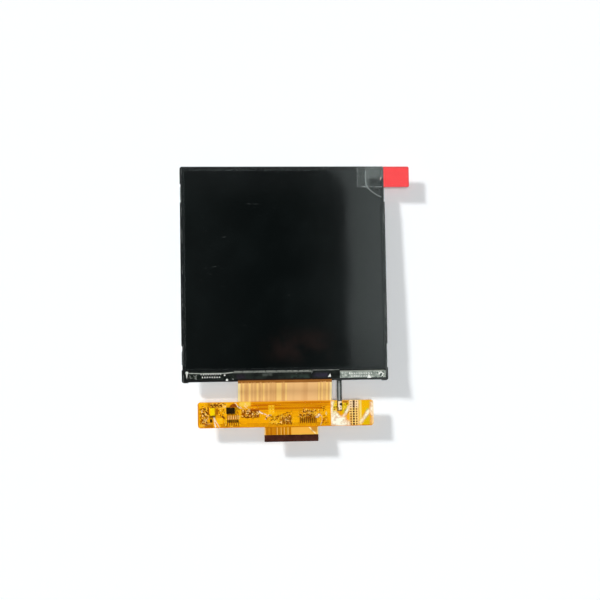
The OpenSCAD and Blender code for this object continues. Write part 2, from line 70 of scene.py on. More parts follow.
# Strip of the flex; its clear tapes end a little inside its edges
TAPE_INSET = 0.15
LEFT, RIGHT = box_mm("main_flex")[0].x, box_mm("main_flex")[1].x
TOP = box_mm("component_tape")[1].y + TAPE_INSET
BOTTOM = box_mm("component_tape")[0].y - TAPE_INSET

# Neck of the flex: its middle and half width, then x from and to of its stripes without copper
# and of its calmer part
NECK_X, NECK_HALF = -0.25, 17.9
NECK_LEFT, NECK_RIGHT = NECK_X - NECK_HALF, NECK_X + NECK_HALF
NECK_STRIPES = [
    (-17.6, -17.0), (-16.4, -15.9), (-14.0, -13.4), (-11.1, -10.4), (-8.7, -8.1), (-3.5, -1.7),
    (-0.1, 0.5), (12.4, 13.0), (13.6, 14.2), (15.3, 16.2),
]
NECK_CALM = (0.6, 12.2)
# Where the flex comes out from under the frame
FRAME_EDGE = -41.3

# Contact tail, wired left of its middle, with a few bare lines there
STIFF_LOW, STIFF_HIGH = box_mm("tail_stiffener")
TAIL_MIDDLE = 2.0
TAIL_LINES = (-3.4, -1.9, -0.7, 0.7)

# Middle of the lamp flex's tail, and of its solder joint
LAMP_X, JOINT_Y = 20.6, -50

# The bright line on the ledge runs this far below the upper glass
LINE_Y = box_mm("colour_filter_glass")[0].y - 0.85

# The corner of the protective film lifts inside this arc, under the pull tab
TAB_ARC = [
    (32.3, 39.6), (32.0, 38.0), (31.9, 36.2), (32.1, 34.4), (32.6, 33.0), (33.6, 31.8), (34.9, 30.8),
    (36.6, 29.8), (38.3, 29.0),
]


# --- Shader nodes ---


def srgb(code):
    """Linear colour of an sRGB hex code."""
    def linear(c):
        c /= 255
        return c / 12.92 if c <= 0.04045 else ((c + 0.055) / 1.055) ** 2.4

    return (*map(linear, bytes.fromhex(code)), 1.0)


class Wire:
    """A node's output. Arithmetic on it adds math nodes, and a | b is the larger of two."""

    def __init__(self, graph, socket):
        self.graph, self.socket = graph, socket

    def __add__(self, other):
        return self.graph.math("ADD", self, other)

    def __sub__(self, other):
        return self.graph.math("SUBTRACT", self, other)

    def __rsub__(self, other):
        return self.graph.math("SUBTRACT", other, self)

    def __mul__(self, other):
        return self.graph.math("MULTIPLY", self, other)

    def __truediv__(self, other):
        return self.graph.math("DIVIDE", self, other)

    def __or__(self, other):
        return self.graph.math("MAXIMUM", self, other)

    def __abs__(self):
        return self.graph.math("ABSOLUTE", self)


class Graph:
    """Adds nodes to a shader tree. A value is a number, a tuple, a hex colour or a Wire."""

    # Places of the colour sockets of the Mix node
    MIX_FACTOR, MIX_A, MIX_B, MIX_RESULT = 0, 6, 7, 2

    def __init__(self, tree):
        self.tree = tree

    def link(self, value, socket):
        """Gives a socket its value."""
        if isinstance(value, Wire):
            self.tree.links.new(value.socket, socket)
        else:
            socket.default_value = srgb(value) if isinstance(value, str) else value

    def add(self, kind, inputs=(), output=0, **settings):
        """One output of a new node."""
        node = self.tree.nodes.new("ShaderNode" + kind)
        for name, value in settings.items():
            setattr(node, name, value)
        for key, value in dict(inputs).items():
            self.link(value, node.inputs[key])
        return Wire(self, node.outputs[output])

    def math(self, operation, a, b=0.0, clamp=False):
        return self.add("Math", {0: a, 1: b}, operation=operation, use_clamp=clamp)

    def vector(self, operation, *values):
        return self.add("VectorMath", enumerate(values), operation=operation)

    def length(self, a, b):
        """Length of the long side of a right triangle."""
        return self.math("SQRT", a * a + b * b)

    def mix(self, fac, a, b):
        """Colour a where fac is 0, colour b where it is 1."""
        inputs = {self.MIX_FACTOR: fac, self.MIX_A: a, self.MIX_B: b}
        return self.add("Mix", inputs, self.MIX_RESULT, data_type="RGBA")

    def layers(self, tone, *layers):
        """A colour under others; each layer is a factor and the colour it brings."""
        for fac, colour in layers:
            tone = self.mix(fac, tone, colour)
        return tone

    def step(self, value, low, high, out_low=0.0, out_high=1.0):
        """A smooth step of value from low to high."""
        inputs = {"Value": value, "From Min": low, "From Max": high, "To Min": out_low, "To Max": out_high}
        return self.add("MapRange", inputs, "Result", interpolation_type="SMOOTHSTEP")

    def split(self, vector):
        """X, Y and Z of a vector."""
        x = self.add("SeparateXYZ", {0: vector})
        return [Wire(self, socket) for socket in x.socket.node.outputs]

    def rays(self, *kinds):
        """1 for rays of these kinds."""
        return reduce(or_, [self.add("LightPath", output=f"Is {kind} Ray") for kind in kinds])


class Paint(Graph):
    """Builds one procedural material. Lengths on the object are in millimetres."""

    def __init__(self, name, ior=1.5, specular=0.5, metallic=0.0):
        self.material = bpy.data.materials.new(name)
        self.material.use_nodes = True
        super().__init__(self.material.node_tree)
        self.shader = self.tree.nodes["Principled BSDF"]
        self.fill({"IOR": ior, "Specular IOR Level": specular, "Metallic": metallic})
        here = self.add("TexCoord", output="Object")
        self.place = self.add("VectorMath", {0: here, "Scale": 1 / MM}, operation="SCALE")
        self.xyz = None

    def fill(self, values):
        """Sets inputs of the material's shader."""
        for name, value in values.items():
            self.link(value, self.shader.inputs[name])

    def axis(self, index):
        """The place along X, Y or Z in millimetres."""
        self.xyz = self.xyz or self.split(self.place)
        return self.xyz[index]

    def noise(self, size, detail=3, rough=0.55, stretch=None, distortion=0.0, output="Fac"):
        """Noise with lumps about size millimetres wide; stretch scales each axis for grain."""
        place = self.vector("MULTIPLY", self.place, stretch) if stretch else self.place
        inputs = {"Scale": 1 / size, "Detail": detail, "Roughness": rough, "Distortion": distortion}
        return self.add("TexNoise", {"Vector": place, **inputs}, output)

    def mask(self, low, high, *noise, **more):
        """Soft patches: noise of that kind, stepped from low to high."""
        return self.step(self.noise(*noise, **more), low, high)

    def cells(self, size, output):
        """Voronoi cells about size millimetres wide."""
        return self.add("TexVoronoi", {"Vector": self.place, "Scale": 1 / size}, output)

    def zone(self, x0, x1, y0, y1, soft=0.15):
        """1 inside a rectangle seen from above, with soft edges."""
        x, y, h = self.axis(0), self.axis(1), soft / 2
        inside = self.step(x, x0 - h, x0 + h) * self.step(x, x1 - h, x1 + h, 1, 0)
        return inside * self.step(y, y0 - h, y0 + h) * self.step(y, y1 - h, y1 + h, 1, 0)

    def line(self, x0, y0, x1, y1, width, soft):
        """1 on a straight stroke seen from above."""
        length = math.hypot(x1 - x0, y1 - y0)
        ux, uy = (x1 - x0) / length, (y1 - y0) / length
        dx, dy = self.axis(0) - x0, self.axis(1) - y0
        along = dx * ux + dy * uy
        across = abs(dy * ux - dx * uy)
        on = self.step(across, width / 2, width / 2 + soft, 1, 0) * self.step(along, -soft, soft)
        return on * self.step(along, length - soft, length + soft, 1, 0)

    def path(self, points, width, soft):
        """1 on straight strokes from point to point."""
        return reduce(or_, [self.line(*a, *b, width, soft) for a, b in zip(points, points[1:])])

    def uneven(self, noise, low, high):
        """A noise spread over a range, for roughness."""
        return self.step(noise, 0.3, 0.7, low, high)

    def done(self, colour, roughness, height=None, depth=0.0, strength=1.0, alpha=1.0):
        """The finished material; its relief is a height from 0 to 1 that stands for depth millimetres."""
        self.fill({"Base Color": colour, "Roughness": roughness, "Alpha": alpha})
        if height is not None:
            relief = {"Height": height, "Distance": depth * MM, "Strength": strength}
            self.fill({"Normal": self.add("Bump", relief)})
        return self.material


# --- Materials ---

# Specular level of parts that lie under lacquer or tape
DULL = 0.1


def surface(name, dark, light, size, roughness, relief=0.0, specular=0.5, metallic=0.0):
    """A plain material with cloudy colour, fine grain, uneven gloss and slight relief."""
    paint = Paint(name, specular=specular, metallic=metallic)
    grain = paint.noise(size / 8, 2)
    spread = paint.step(paint.noise(size, 4) * 0.7 + grain * 0.3, 0.32, 0.68)
    gloss = paint.uneven(grain, roughness * 0.85, min(roughness * 1.2, 1.0))
    return paint.done(paint.mix(spread, dark, light), gloss, grain if relief else None, relief)


def tray_metal():
    """Rolled sheet metal with fine lines one way and a few handling marks."""
    paint = Paint("tray_metal", metallic=1.0)
    lines = paint.noise(0.25, 4, stretch=(0.06, 1, 1))
    marks = paint.mask(0.62, 0.74, 5, 6, 0.7)
    tone = paint.step(lines * 0.5 + paint.noise(14) * 0.5, 0.35, 0.65)
    rough = paint.math("ADD", paint.uneven(lines, 0.24, 0.375), marks * 0.12, clamp=True)
    return paint.done(paint.mix(tone, "b4b6b6", "c6c7c6"), rough, lines, 0.004)


def frame_black():
    """Black moulded polycarbonate, fairly glossy, with dusty wear and a painted highlight along the inner
    edge of its rim.
    """
    paint = Paint("frame_black", ior=1.58)
    grain = paint.noise(0.12)
    dust = paint.mask(0.58, 0.75, 2.2, 6, 0.7)
    beside, inner = abs(paint.axis(0)), box_mm("tft_glass")[1].x
    # A lighter, patchy band along the inner edge of the rim: a painted highlight where that edge catches the
    # light
    edge_highlight = paint.step(beside, inner - 0.02, inner + 0.06)
    edge_highlight = edge_highlight * paint.step(beside, inner + 0.22, inner + 0.34, 1, 0)
    edge_highlight = edge_highlight * paint.mask(0.44, 0.6, 5, 4, 0.7)
    layers = (paint.noise(6), "141616"), (dust * 0.3, "343838"), (edge_highlight * 0.6, "707472")
    tone = paint.layers("0c0d0e", *layers)
    return paint.done(tone, paint.uneven(grain, 0.12, 0.22), grain, 0.004, 0.5)


def polarizer_dark():
    """The polarizer: a nearly black optical film with a faint blue-green cast."""
    paint = Paint("polarizer_dark", ior=1.49)
    tone = paint.mix(paint.noise(25, 1), "0c1010", "111515")
    return paint.done(tone, paint.uneven(paint.noise(0.4, 2), 0.032, 0.048))


def protective_clear():
    """The clear protective film over the screen: faint dust, scratches, and a painted highlight along the arc
    where its corner lifts.
    """
    paint = Paint("protective_clear", ior=1.58)
    warm = paint.zone(-7.5, 17, -32.5, -23, 9) * paint.mask(0.35, 0.7, 9)
    specks = paint.step(paint.cells(3.1, "Distance"), 0.035, 0.02) * paint.mask(0.5, 0.6, 7, 1)
    scratch = paint.mask(0.71, 0.75, 0.9, 2, stretch=(0.12, 1, 1), distortion=1.5)
    scratch = scratch * paint.mask(0.5, 0.62, 11)
    # The pale arc along the lifted corner is a painted highlight; the specks are dust and the streaks are
    # scratches
    marks = specks * 0.5 | scratch * 0.22 | paint.path(TAB_ARC, 0.12, 0.16) * 0.7
    haze = paint.mask(0.4, 0.75, 16, 4)
    tone = paint.layers("0f1414", (haze, "181e1e"), (warm * 0.75, "382926"), (marks, "bec8c6"))
    rough = paint.uneven(paint.noise(3.5, 4), 0.028, 0.045)
    alpha = paint.math("MAXIMUM", marks, 0.42, clamp=True)
    return paint.done(tone, rough, paint.noise(9, 2), 0.02, 0.12, alpha)


def tab_clear():
    """Clear tape over the film's lifted corner and the red grip, with a little trapped air and a painted
    sheen that is stronger over the lifted corner and weaker where the tape is stuck flat.
    """
    paint = Paint("tab_clear")
    x = paint.axis(0)
    air = paint.noise(2.4, 4)
    streak = paint.mask(0.5, 0.7, 0.7, 2, stretch=(1, 0.12, 1))
    fold_x = sum(place[0] for place in TAB_ARC[1:4]) / 3
    # Painted sheen: over the lifted corner the tape is paler and less clear, over the part stuck flat it is
    # clearer, and its arc is a faint painted highlight
    lifted = paint.step(x, fold_x - 0.1, fold_x + 0.5) * paint.step(x, fold_x + 1, 38.8, 1, 0.6)
    stuck = paint.zone(33.3, 39.2, 32.0, 36.4, 1.4)
    body = air * 0.02 + streak * 0.02 + 0.025 + lifted * 0.065
    body = body * (1.0 - stuck) + paint.path(TAB_ARC[:4], 0.06, 0.2) * 0.12
    # Over the red grip it is clear
    body = body * paint.step(x, 38.85, 39.1, 1, 0)
    speck = paint.line(37.7, 35.6, 38.1, 36.9, 0.12, 0.2)
    tone = paint.layers("a8b8b4", (air, "ced8d5"), (speck, "ecc8c8"))
    alpha = paint.math("ADD", body + speck * 0.4, 0.006, clamp=True)
    return paint.done(tone, 0.14, air, 0.006, alpha=alpha)


def tab_edge():
    """The cut edge of clear tape, drawn as a pale line: a painted highlight along the edge."""
    paint = Paint("tab_edge")
    breaks = paint.mask(0.42, 0.6, 1.3)
    tone = paint.mix(breaks, "a8b2af", "ced6d3")
    return paint.done(tone, 0.3, alpha=breaks * 0.12 + 0.38)


def tab_red():
    """The red grip: printed film, a little darker along its cut edges."""
    paint = Paint("tab_red")
    low, high = box_mm("tab_grip")
    inside = paint.zone(low.x + 0.1, high.x - 0.35, low.y + 0.35, high.y - 0.35, 0.5)
    tone = paint.mix(paint.noise(3, 4), "f93c40", "fd484b")
    tone = paint.mix(inside, "dc4248", tone)
    return paint.done(tone, paint.uneven(paint.noise(0.3), 0.3, 0.45), paint.noise(0.5), 0.006)


def ledge_tape_black():
    """Black tape over the joint, with a faint painted green and violet sheen and soft painted gleams."""
    paint = Paint("ledge_tape_black", specular=DULL)
    clouds = paint.noise(2.5, 4)
    tone = paint.mix(paint.step(clouds, 0.35, 0.65), "111412", "202521")
    # Soft zones of violet, green and grey: painted sheen and gleams on the tape
    for *zone, power, sheen in (
        (-18.6, -15.4, -39.9, -38.3, 1.2, 0.7, "2e2432"), (10.2, 16.2, -39.6, -38.2, 1.6, 0.7, "363044"),
        (2.0, 9.4, -40.0, -38.8, 1.0, 0.4, "3e4e46"), (-8.8, -5.0, -39.0, -37.9, 0.9, 0.45, "686e68"),
    ):
        tone = paint.mix(paint.zone(*zone) * paint.step(clouds, 0.3, 0.6) * power, tone, sheen)
    # Its upper edge, which ends where the glass marks take over
    edge = paint.zone(-20.2, 10.4, LINE_Y - 0.05, LINE_Y + 0.6, 0.2)
    tone = paint.mix(edge * paint.step(paint.noise(1.1), 0.3, 0.5, 0.35, 0.9), tone, "7a7e78")
    return paint.done(tone, paint.uneven(clouds, 0.28, 0.4), clouds, 0.02)


def ledge_glass():
    """The bare ledge of the lower glass, whose right part has dense metal wiring."""
    paint = Paint("ledge_glass", ior=1.45, specular=0.2)
    waves = {"Vector": paint.place, "Scale": math.pi / (10 * 0.4), "Distortion": 1.5}
    hatch = paint.add("TexWave", waves, "Fac", bands_direction="DIAGONAL")
    blots = paint.noise(1.1, 5, 0.7)
    dark = paint.mix(paint.step(blots, 0.4, 0.7), "0c110f", "282e28")
    cells = paint.step(paint.cells(0.8, "Color"), 0.3, 0.7) * 0.45
    layers = (paint.step(blots, 0.35, 0.65), "d4dad0"), (hatch * 0.4, "606e66"), (cells, "54625a")
    pale = paint.layers("88948a", *layers)
    wired = paint.step(paint.axis(0), 20.6, 20.9)
    wired = wired * paint.step(paint.axis(1), LINE_Y + 0.1, LINE_Y + 0.3, 1, 0)
    return paint.done(paint.mix(wired, dark, pale), paint.uneven(blots, 0.16, 0.3), hatch, 0.003)


def lamp_flex_dark():
    """The lamp flex, dark grey, with the end that is soldered on stained by flux."""
    paint = Paint("lamp_flex_dark")
    fine = paint.noise(0.2, 2)
    cover = paint.mix(paint.mask(0.35, 0.65, 1.6, 4), "222625", "404441")
    stained = paint.mix(fine, "2c2000", "544606")
    tone = paint.mix(paint.step(paint.axis(1), -49.3, -49.0), stained, cover)
    return paint.done(tone, paint.uneven(fine, 0.34, 0.48), fine, 0.006)


def lamp_tail_line():
    """Pale conductor on the lamp flex's tail, dark where flux was spilt beside the joint."""
    paint = Paint("lamp_tail_line")
    grain, y = paint.noise(0.9), paint.axis(1)
    pale = paint.mix(grain, "848986", "a4a9a5")
    burnt = paint.mix(paint.step(y, -51.2, -50.9), "88600a", "0c0200")
    tone = paint.mix(paint.step(y, -49.25, -49.0, 1, 0), pale, burnt)
    return paint.done(tone, paint.uneven(grain, 0.3, 0.44))


def chip_ceramic():
    """Chip body whose tone changes from one chip to the next."""
    paint = Paint("chip_ceramic", specular=DULL)
    dark, light = "421600", "864808"
    tone = paint.mix(paint.add("NewGeometry", output="Random Per Island"), dark, light)
    grain = paint.noise(0.12)
    tone = paint.mix(paint.step(grain, 0.4, 0.7) * 0.3, tone, light)
    return paint.done(tone, paint.uneven(grain, 0.34, 0.5), grain, 0.01)


# Zones of another colour on the strip: x from and to, y from and to, softness, strength, colour
STRIP_SPOTS = [
    (-33.2, -31.0, -51.0, -48.7, 0.8, 0.7, "ffba00"), (-32.6, -30.1, -57.0, -50.8, 0.9, 0.8, "964600"),
    (-30.9, -27.6, -58.3, -56.9, 0.5, 0.7, "9c4a00"), (-29.6, -24.2, -50.4, -48.9, 0.7, 0.65, "964802"),
    (-29.1, -26.8, -54.7, -53.4, 0.5, 0.8, "603c00"), (-26.9, -25.2, -53.6, -50.6, 0.5, 0.4, "ce8200"),
    (-24.2, -22.4, -53.8, -49.4, 0.8, 0.5, "ffbe14"), (-24.8, -17.4, -58.3, -56.5, 0.5, 0.5, "b06200"),
    (-22.4, -18.2, -56.8, -53.2, 0.5, 0.5, "c46e00"), (-19.1, -17.4, -51.8, -50.2, 0.4, 0.7, "946a00"),
    (-17.6, -13.4, -50.3, -48.7, 0.9, 0.8, "ffda54"), (-16.9, -10.1, -54.7, -51.6, 0.5, 0.85, "842e00"),
    (-17.6, -6.8, -58.0, -55.2, 0.7, 0.5, "fcaa00"), (-5.8, -2.4, -57.6, -54.0, 0.9, 0.55, "e2a40e"),
    (-2.5, 2.2, -57.5, -54.0, 0.7, 0.75, "984e00"), (4.9, 11.8, -54.9, -52.0, 0.9, 0.4, "b06200"),
    (5.2, 11.8, -57.0, -54.6, 0.6, 0.75, "8c4000"), (13.6, 16.2, -57.0, -55.0, 0.8, 0.35, "be5c00"),
    (13.8, 16.8, -53.6, -50.4, 0.9, 0.6, "ffb80a"), (17.9, 19.5, -54.0, -49.1, 0.4, 1.0, "f0da38"),
    (21.6, 24.2, -53.6, -49.7, 0.4, 1.0, "dec204"), (21.9, 24.4, -49.7, -48.8, 0.4, 0.9, "b06c1e"),
    (24.3, 27.9, -58.2, -48.7, 0.5, 0.95, "ffd67c"), (24.3, 27.9, -51.6, -48.7, 0.8, 0.8, "ffe2b8"),
    (24.3, 25.4, -58.2, -54.2, 0.8, 0.6, "e29e32"), (25.7, 26.45, -51.6, -48.7, 0.4, 0.85, "543800"),
    (28.0, 29.0, -58.2, -48.7, 0.5, 0.85, "fce482"), (30.6, 31.7, -53.2, -51.8, 0.5, 0.8, "ced01e"),
    (29.8, 32.0, -58.1, -54.6, 0.9, 0.7, "dcbc00"),
]


def flex_amber():
    """Polyimide flex: copper wiring under amber coverlay, with bare margins and zones of its own."""
    paint = Paint("flex_amber", specular=DULL)
    x, y = paint.axis(0), paint.axis(1)
    # Heights above and below the strip, past the ends of the neck and the tail
    above, below = TOP + 9, BOTTOM - 9
    # Fine wiring: dark gaps between copper, in both directions, broken up by noise
    across = paint.mask(0.42, 0.6, 0.42, 2, stretch=(0.12, 1, 1))
    down = paint.mask(0.42, 0.6, 0.42, 2, stretch=(1, 0.1, 1))
    wires = paint.mix(paint.mask(0.46, 0.54, 2.6, 1), across, down)
    pour = paint.mix(paint.noise(3.2), "f6a400", "ffbe06")
    tone = paint.mix(wires * 0.3, pour, "bc6200")
    traces = paint.mask(0.42, 0.58, 0.5, 1, stretch=(0.02, 1, 1))
    band = paint.mix(traces * 0.85, "f0a000", "d06800")
    tone = paint.mix(paint.zone(-13.5, 17.2, TOP - 3.7, TOP + 0.2, 1.4) * 0.95, tone, band)
    right_end = paint.zone(28.1, 32.3, BOTTOM + 0.4, TOP - 0.3, 0.5)
    tone = paint.mix(right_end, tone, paint.mix(paint.noise(2), "fab004", "f4c400"))
    # The coloured zones are on the front only
    normal = paint.add("NewGeometry", output="Normal")
    front = paint.step(paint.split(normal)[2], -0.2, 0.2)
    for *zone, power, spot in STRIP_SPOTS:
        tone = paint.mix(paint.zone(*zone) * (front * power), tone, spot)
    tone = paint.mix(paint.zone(LEFT + 0.35, RIGHT + 1, BOTTOM + 0.3, above, 0.35), "d68404", tone)
    tone = paint.mix(paint.step(x, RIGHT - 0.9, RIGHT - 0.4), tone, "ffd68c")
    # Neck: peach, with lighter stripes where there is no copper
    fine = paint.mask(0.35, 0.65, 0.7, 2, stretch=(1, 0.004, 0.004))
    broad = paint.mask(0.4, 0.6, 3.2, 1, stretch=(1, 0.02, 0.02))
    peach = paint.mix(fine, "e4aa66", "f6c680")
    calm = paint.mix(broad, "eab171", "f4c07f")
    peach = paint.mix(paint.zone(*NECK_CALM, TOP - 1, above, 0.5), peach, calm)
    light = reduce(or_, [paint.zone(*stripe, TOP - 1, above, 0.25) for stripe in NECK_STRIPES])
    peach = paint.mix(light * 0.9, peach, "fdd07c")
    margin = paint.zone(NECK_LEFT + 0.85, NECK_RIGHT - 0.8, TOP - 1, above, 0.3)
    peach = paint.mix(margin, "fce2a0", peach)
    tone = paint.mix(paint.step(y, TOP - 0.35, TOP + 0.4), tone, peach)
    # The neck dives under the tape: painted shade makes it brown where it curves down, and painted shadow
    # makes it nearly black in the gap
    bend_shade = paint.mix(paint.noise(3, 2), "84521a", "a46a30")
    bent, gap_shadow = paint.step(y, TOP + 6.75, TOP + 7.15), paint.step(y, TOP + 7.85, TOP + 8.1)
    tone = paint.layers(tone, (bent, bend_shade), (gap_shadow, "241006"))
    # Tail: wired on its left half, plain on its right half, with a crease drawn as a pale line of painted
    # highlight and painted shade on the bent spot beside it
    wired = paint.mix(fine, "c27400", "f0a414")
    plain = paint.mix(paint.noise(2.5), "f4b03e", "fabc4c")
    under = paint.mix(paint.step(x, TAIL_MIDDLE - 0.15, TAIL_MIDDLE + 0.15), wired, plain)
    for line in TAIL_LINES:
        under = paint.mix(paint.zone(line - 0.16, line + 0.16, below, TOP), under, "f0b854")
    under = paint.mix(paint.line(8.7, -58.5, 11.2, -61.1, 0.12, 0.3), under, "ffecb4")
    under = paint.mix(paint.zone(9.6, 12.3, BOTTOM - 1.9, BOTTOM, 0.8) * 0.7, under, "ba761e")
    margin = paint.zone(STIFF_LOW.x + 0.4, STIFF_HIGH.x - 0.35, below, TOP, 0.3)
    under = paint.mix(margin, "fad68c", under)
    tone = paint.mix(paint.step(y, BOTTOM - 0.3, BOTTOM - 0.1, 1, 0), tone, under)
    return paint.done(tone, paint.step(wires, 0, 1, 0.3, 0.42), 1.0 - wires, 0.008, 0.7)


def clear_tape(name, tint, glare_tint, sway_by, relief, strokes, patches):
    """Thin clear tape. Strokes are painted highlights along its creases and patches are painted glare where
    it lies loose.
    """
    paint = Paint(name, ior=1.45)
    crumple = paint.noise(1.4, 4, 0.6, distortion=0.6)
    # Creases wander a little, so the place they are drawn in is bent by noise
    sway = paint.noise(1 / 0.45, 2, 0.5, output="Color")
    away = paint.vector("MULTIPLY_ADD", sway, (2 * sway_by, 2 * sway_by, 0), paint.place)
    paint.xyz = paint.split(paint.vector("SUBTRACT", away, (sway_by, sway_by, 0)))
    ragged = paint.step(crumple, 0.34, 0.56) * 0.3 + 0.7
    # The white strokes and patches are painted glare on the tape
    white = reduce(or_, [paint.line(*stroke) * power for *stroke, power in strokes]) * ragged
    for *zone, power in patches:
        white = white | paint.zone(*zone) * power * ragged
    alpha = paint.math("ADD", white, 0.03, clamp=True)
    tone = paint.mix(white, tint, glare_tint)
    return paint.done(tone, paint.uneven(crumple, 0.08, 0.16), crumple, relief, alpha=alpha)


# Strokes of painted highlight along creases: from x and y to x and y, width, softness, strength. Patches of
# painted glare where the tape lies loose: x from and to, y from and to, softness, strength
TAPE_AMBER = ("966010", "fff4d6", 0.45, 0.03, [
    (-19.3, -49.1, -18.0, -50.8, 0.08, 0.3, 0.85), (-18.0, -50.8, -16.6, -51.2, 0.08, 0.3, 0.8),
    (-16.6, -51.2, -14.6, -51.0, 0.04, 0.25, 0.5), (-14.6, -51.0, -13.6, -52.1, 0.04, 0.25, 0.5),
    (-10.3, -52.3, -8.6, -53.3, 0.25, 0.35, 0.95), (-8.6, -53.3, -6.4, -54.5, 0.1, 0.3, 0.75),
    (-27.3, -54.3, -26.9, -56.2, 0.35, 0.35, 1.0), (-27.1, -55.8, -26.7, -58.3, 0.16, 0.3, 0.95),
    (-26.7, -55.4, -25.3, -58.3, 0.12, 0.3, 0.85), (13.5, -54.2, 14.1, -55.8, 0.06, 0.25, 0.6),
    (14.1, -55.8, 13.1, -58.1, 0.04, 0.25, 0.5), (-31.5, -57.6, -28.4, -56.7, 0.05, 0.25, 0.4),
    (15.4, -52.9, 15.5, -54.2, 0.25, 0.25, 0.8), (-29.9, -55.2, -29.2, -53.6, 0.1, 0.3, 0.5),
    (-30.9, -56.2, -30.2, -55.6, 0.1, 0.3, 0.5),
], [(11.2, 12.5, -55.2, -54.2, 0.6, 0.7), (12.1, 13.2, -54.6, -53.6, 0.7, 0.85)])
TAPE_CLEAR = ("967028", "ffffe8", 0.4, 0.018, [
    (17.6, -48.8, 17.6, -58.2, 0.3, 0.8, 0.9), (18.4, -53.4, 23.9, -58.4, 0.3, 1.3, 1.0),
    (24.5, -50.6, 21.9, -55.4, 0.2, 1.0, 0.85), (32.3, -52.2, 28.3, -57.6, 0.2, 1.2, 0.9),
    (33.0, -49.2, 32.9, -54.8, 0.4, 1.1, 0.9), (32.9, -54.8, 32.6, -58.2, 0.2, 1.2, 0.4),
    (27.9, -48.8, 27.9, -57.8, 0.02, 0.5, 0.3),
], [
    (17.0, 23.0, -58.7, -54.6, 2.0, 1.0), (17.0, 19.6, -56.5, -52.6, 2.0, 0.9),
    (17.2, 18.6, -50.6, -48.4, 1.2, 0.6), (20.6, 24.6, -58.6, -56.2, 1.6, 0.9),
])

# Dark and light colour, size of the clouds, roughness, relief, specular level, metallic
SURFACES = {
    "reflector_white": ("e8eaea", "f6f6f4", 6, 0.5),
    "guide_clear": ("cdd8da", "e2e9ea", 9, 0.12),
    "film_diffuse": ("e4e4de", "f2f2ec", 8, 0.6),
    "film_prism": ("c8d0d2", "e0e6e7", 8, 0.25, 0.01),
    "lamp": ("e2c456", "f0d878", 1.2, 0.4),
    "tape_black": ("181b19", "242724", 2.5, 0.34, 0.012, DULL),
    "cell_glass": ("121617", "202424", 7, 0.07),
    "seal_grey": ("767a76", "929690", 2, 0.5),
    "crystal_dark": ("0e1113", "161a1c", 6, 0.3),
    "silicon_grey": ("484c52", "606368", 1.5, 0.22),
    "bond_grey": ("8c8c82", "a6a69a", 1, 0.5),
    "stiffener_brown": ("2e1208", "4a261c", 2.4, 0.4, 0.008, DULL),
    "contact_gold": ("d6a03c", "f0c460", 0.6, 0.3, 0, 0.5, 1.0),
    "chip_black": ("090803", "261d0a", 0.8, 0.42, 0.01, 0.05),
    "capacitor_yellow": ("fcd000", "ffe40a", 1.2, 0.36, 0.008, DULL),
    "diode_black": ("120702", "281406", 0.5, 0.4, 0.008, DULL),
    "coil_brown": ("541600", "7e2804", 0.4, 0.4, 0.01, DULL),
    "pad_gold": ("fab81c", "ffd250", 0.5, 0.32, 0, DULL),
    "via_copper": ("220a00", "481c02", 0.5, 0.4, 0, DULL),
    "solder": ("f4d696", "fff0ce", 0.3, 0.3, 0, 0.5, 0.3),
    # Looks of single pieces
    "end_amber": ("ce8418", "fcc448", 0.5, 0.36, 0, DULL),
    "end_pale": ("f8be6e", "ffe2aa", 0.4, 0.34, 0, DULL),
    "end_dark": ("542a00", "905404", 0.5, 0.4, 0, DULL),
    "via_thin": ("78420c", "be762e", 0.9, 0.4, 0, DULL),
    "flex_gap": ("6e2c00", "a45200", 1.2, 0.4, 0, DULL),
    "tail_wire": ("965200", "ba7006", 1.2, 0.4, 0, DULL),
    "flex_highlight": ("fcc258", "ffe29c", 0.4, 0.34, 0, DULL),
    "flex_yellow": ("ffb004", "ffcc1e", 0.7, 0.36, 0, DULL),
    "flex_wire": ("dda462", "eeb672", 2, 0.36, 0, DULL),
    "flex_bare_brown": ("702e00", "a6540e", 0.9, 0.42, 0, DULL),
    "flex_olive": ("5c4e04", "967c0a", 0.7, 0.42, 0, DULL),
    "joint_flux": ("f6cea0", "ffecd2", 0.6, 0.3, 0, DULL),
    "ledge_bright": ("e2e6e0", "fcfdf8", 0.8, 0.3),
    "ledge_pale": ("707670", "9ca096", 0.7, 0.35, 0, DULL),
    "ledge_line": ("929891", "ced1ca", 1.4, 0.35, 0, DULL),
    "ledge_dark": ("2c3a36", "54625c", 0.6, 0.35),
}
materials = {name: surface(name, *row) for name, row in SURFACES.items()}
for make in (
    tray_metal, frame_black, polarizer_dark, protective_clear, tab_clear, tab_edge, tab_red, ledge_glass,
    ledge_tape_black, lamp_flex_dark, lamp_tail_line, flex_amber, chip_ceramic,
):
    materials[make.__name__] = make()
for name, values in (("tape_amber", TAPE_AMBER), ("tape_clear", TAPE_CLEAR)):
    materials[name] = clear_tape(name, *values)


# --- CAD nodes that are shown as they are ---


def bevel(piece, width):
    """Rounds a piece's sharp edges by a width in millimetres."""
    modifier = piece.modifiers.new("edges", "BEVEL")
    modifier.width = width * MM
    modifier.segments = 2
    modifier.limit_method = "ANGLE"
    modifier.angle_limit = math.radians(40)


def dress(node, slot, width=0.0):
    """Gives a CAD node its finish, and rounds its edges by a width in millimetres."""
    shown = nodes[node]
    shown.data.materials.clear()
    shown.data.materials.append(materials[slot])
    if width:
        weld = shown.modifiers.new("weld", "WELD")
        weld.merge_threshold = 0.001 * MM
        bevel(shown, width)


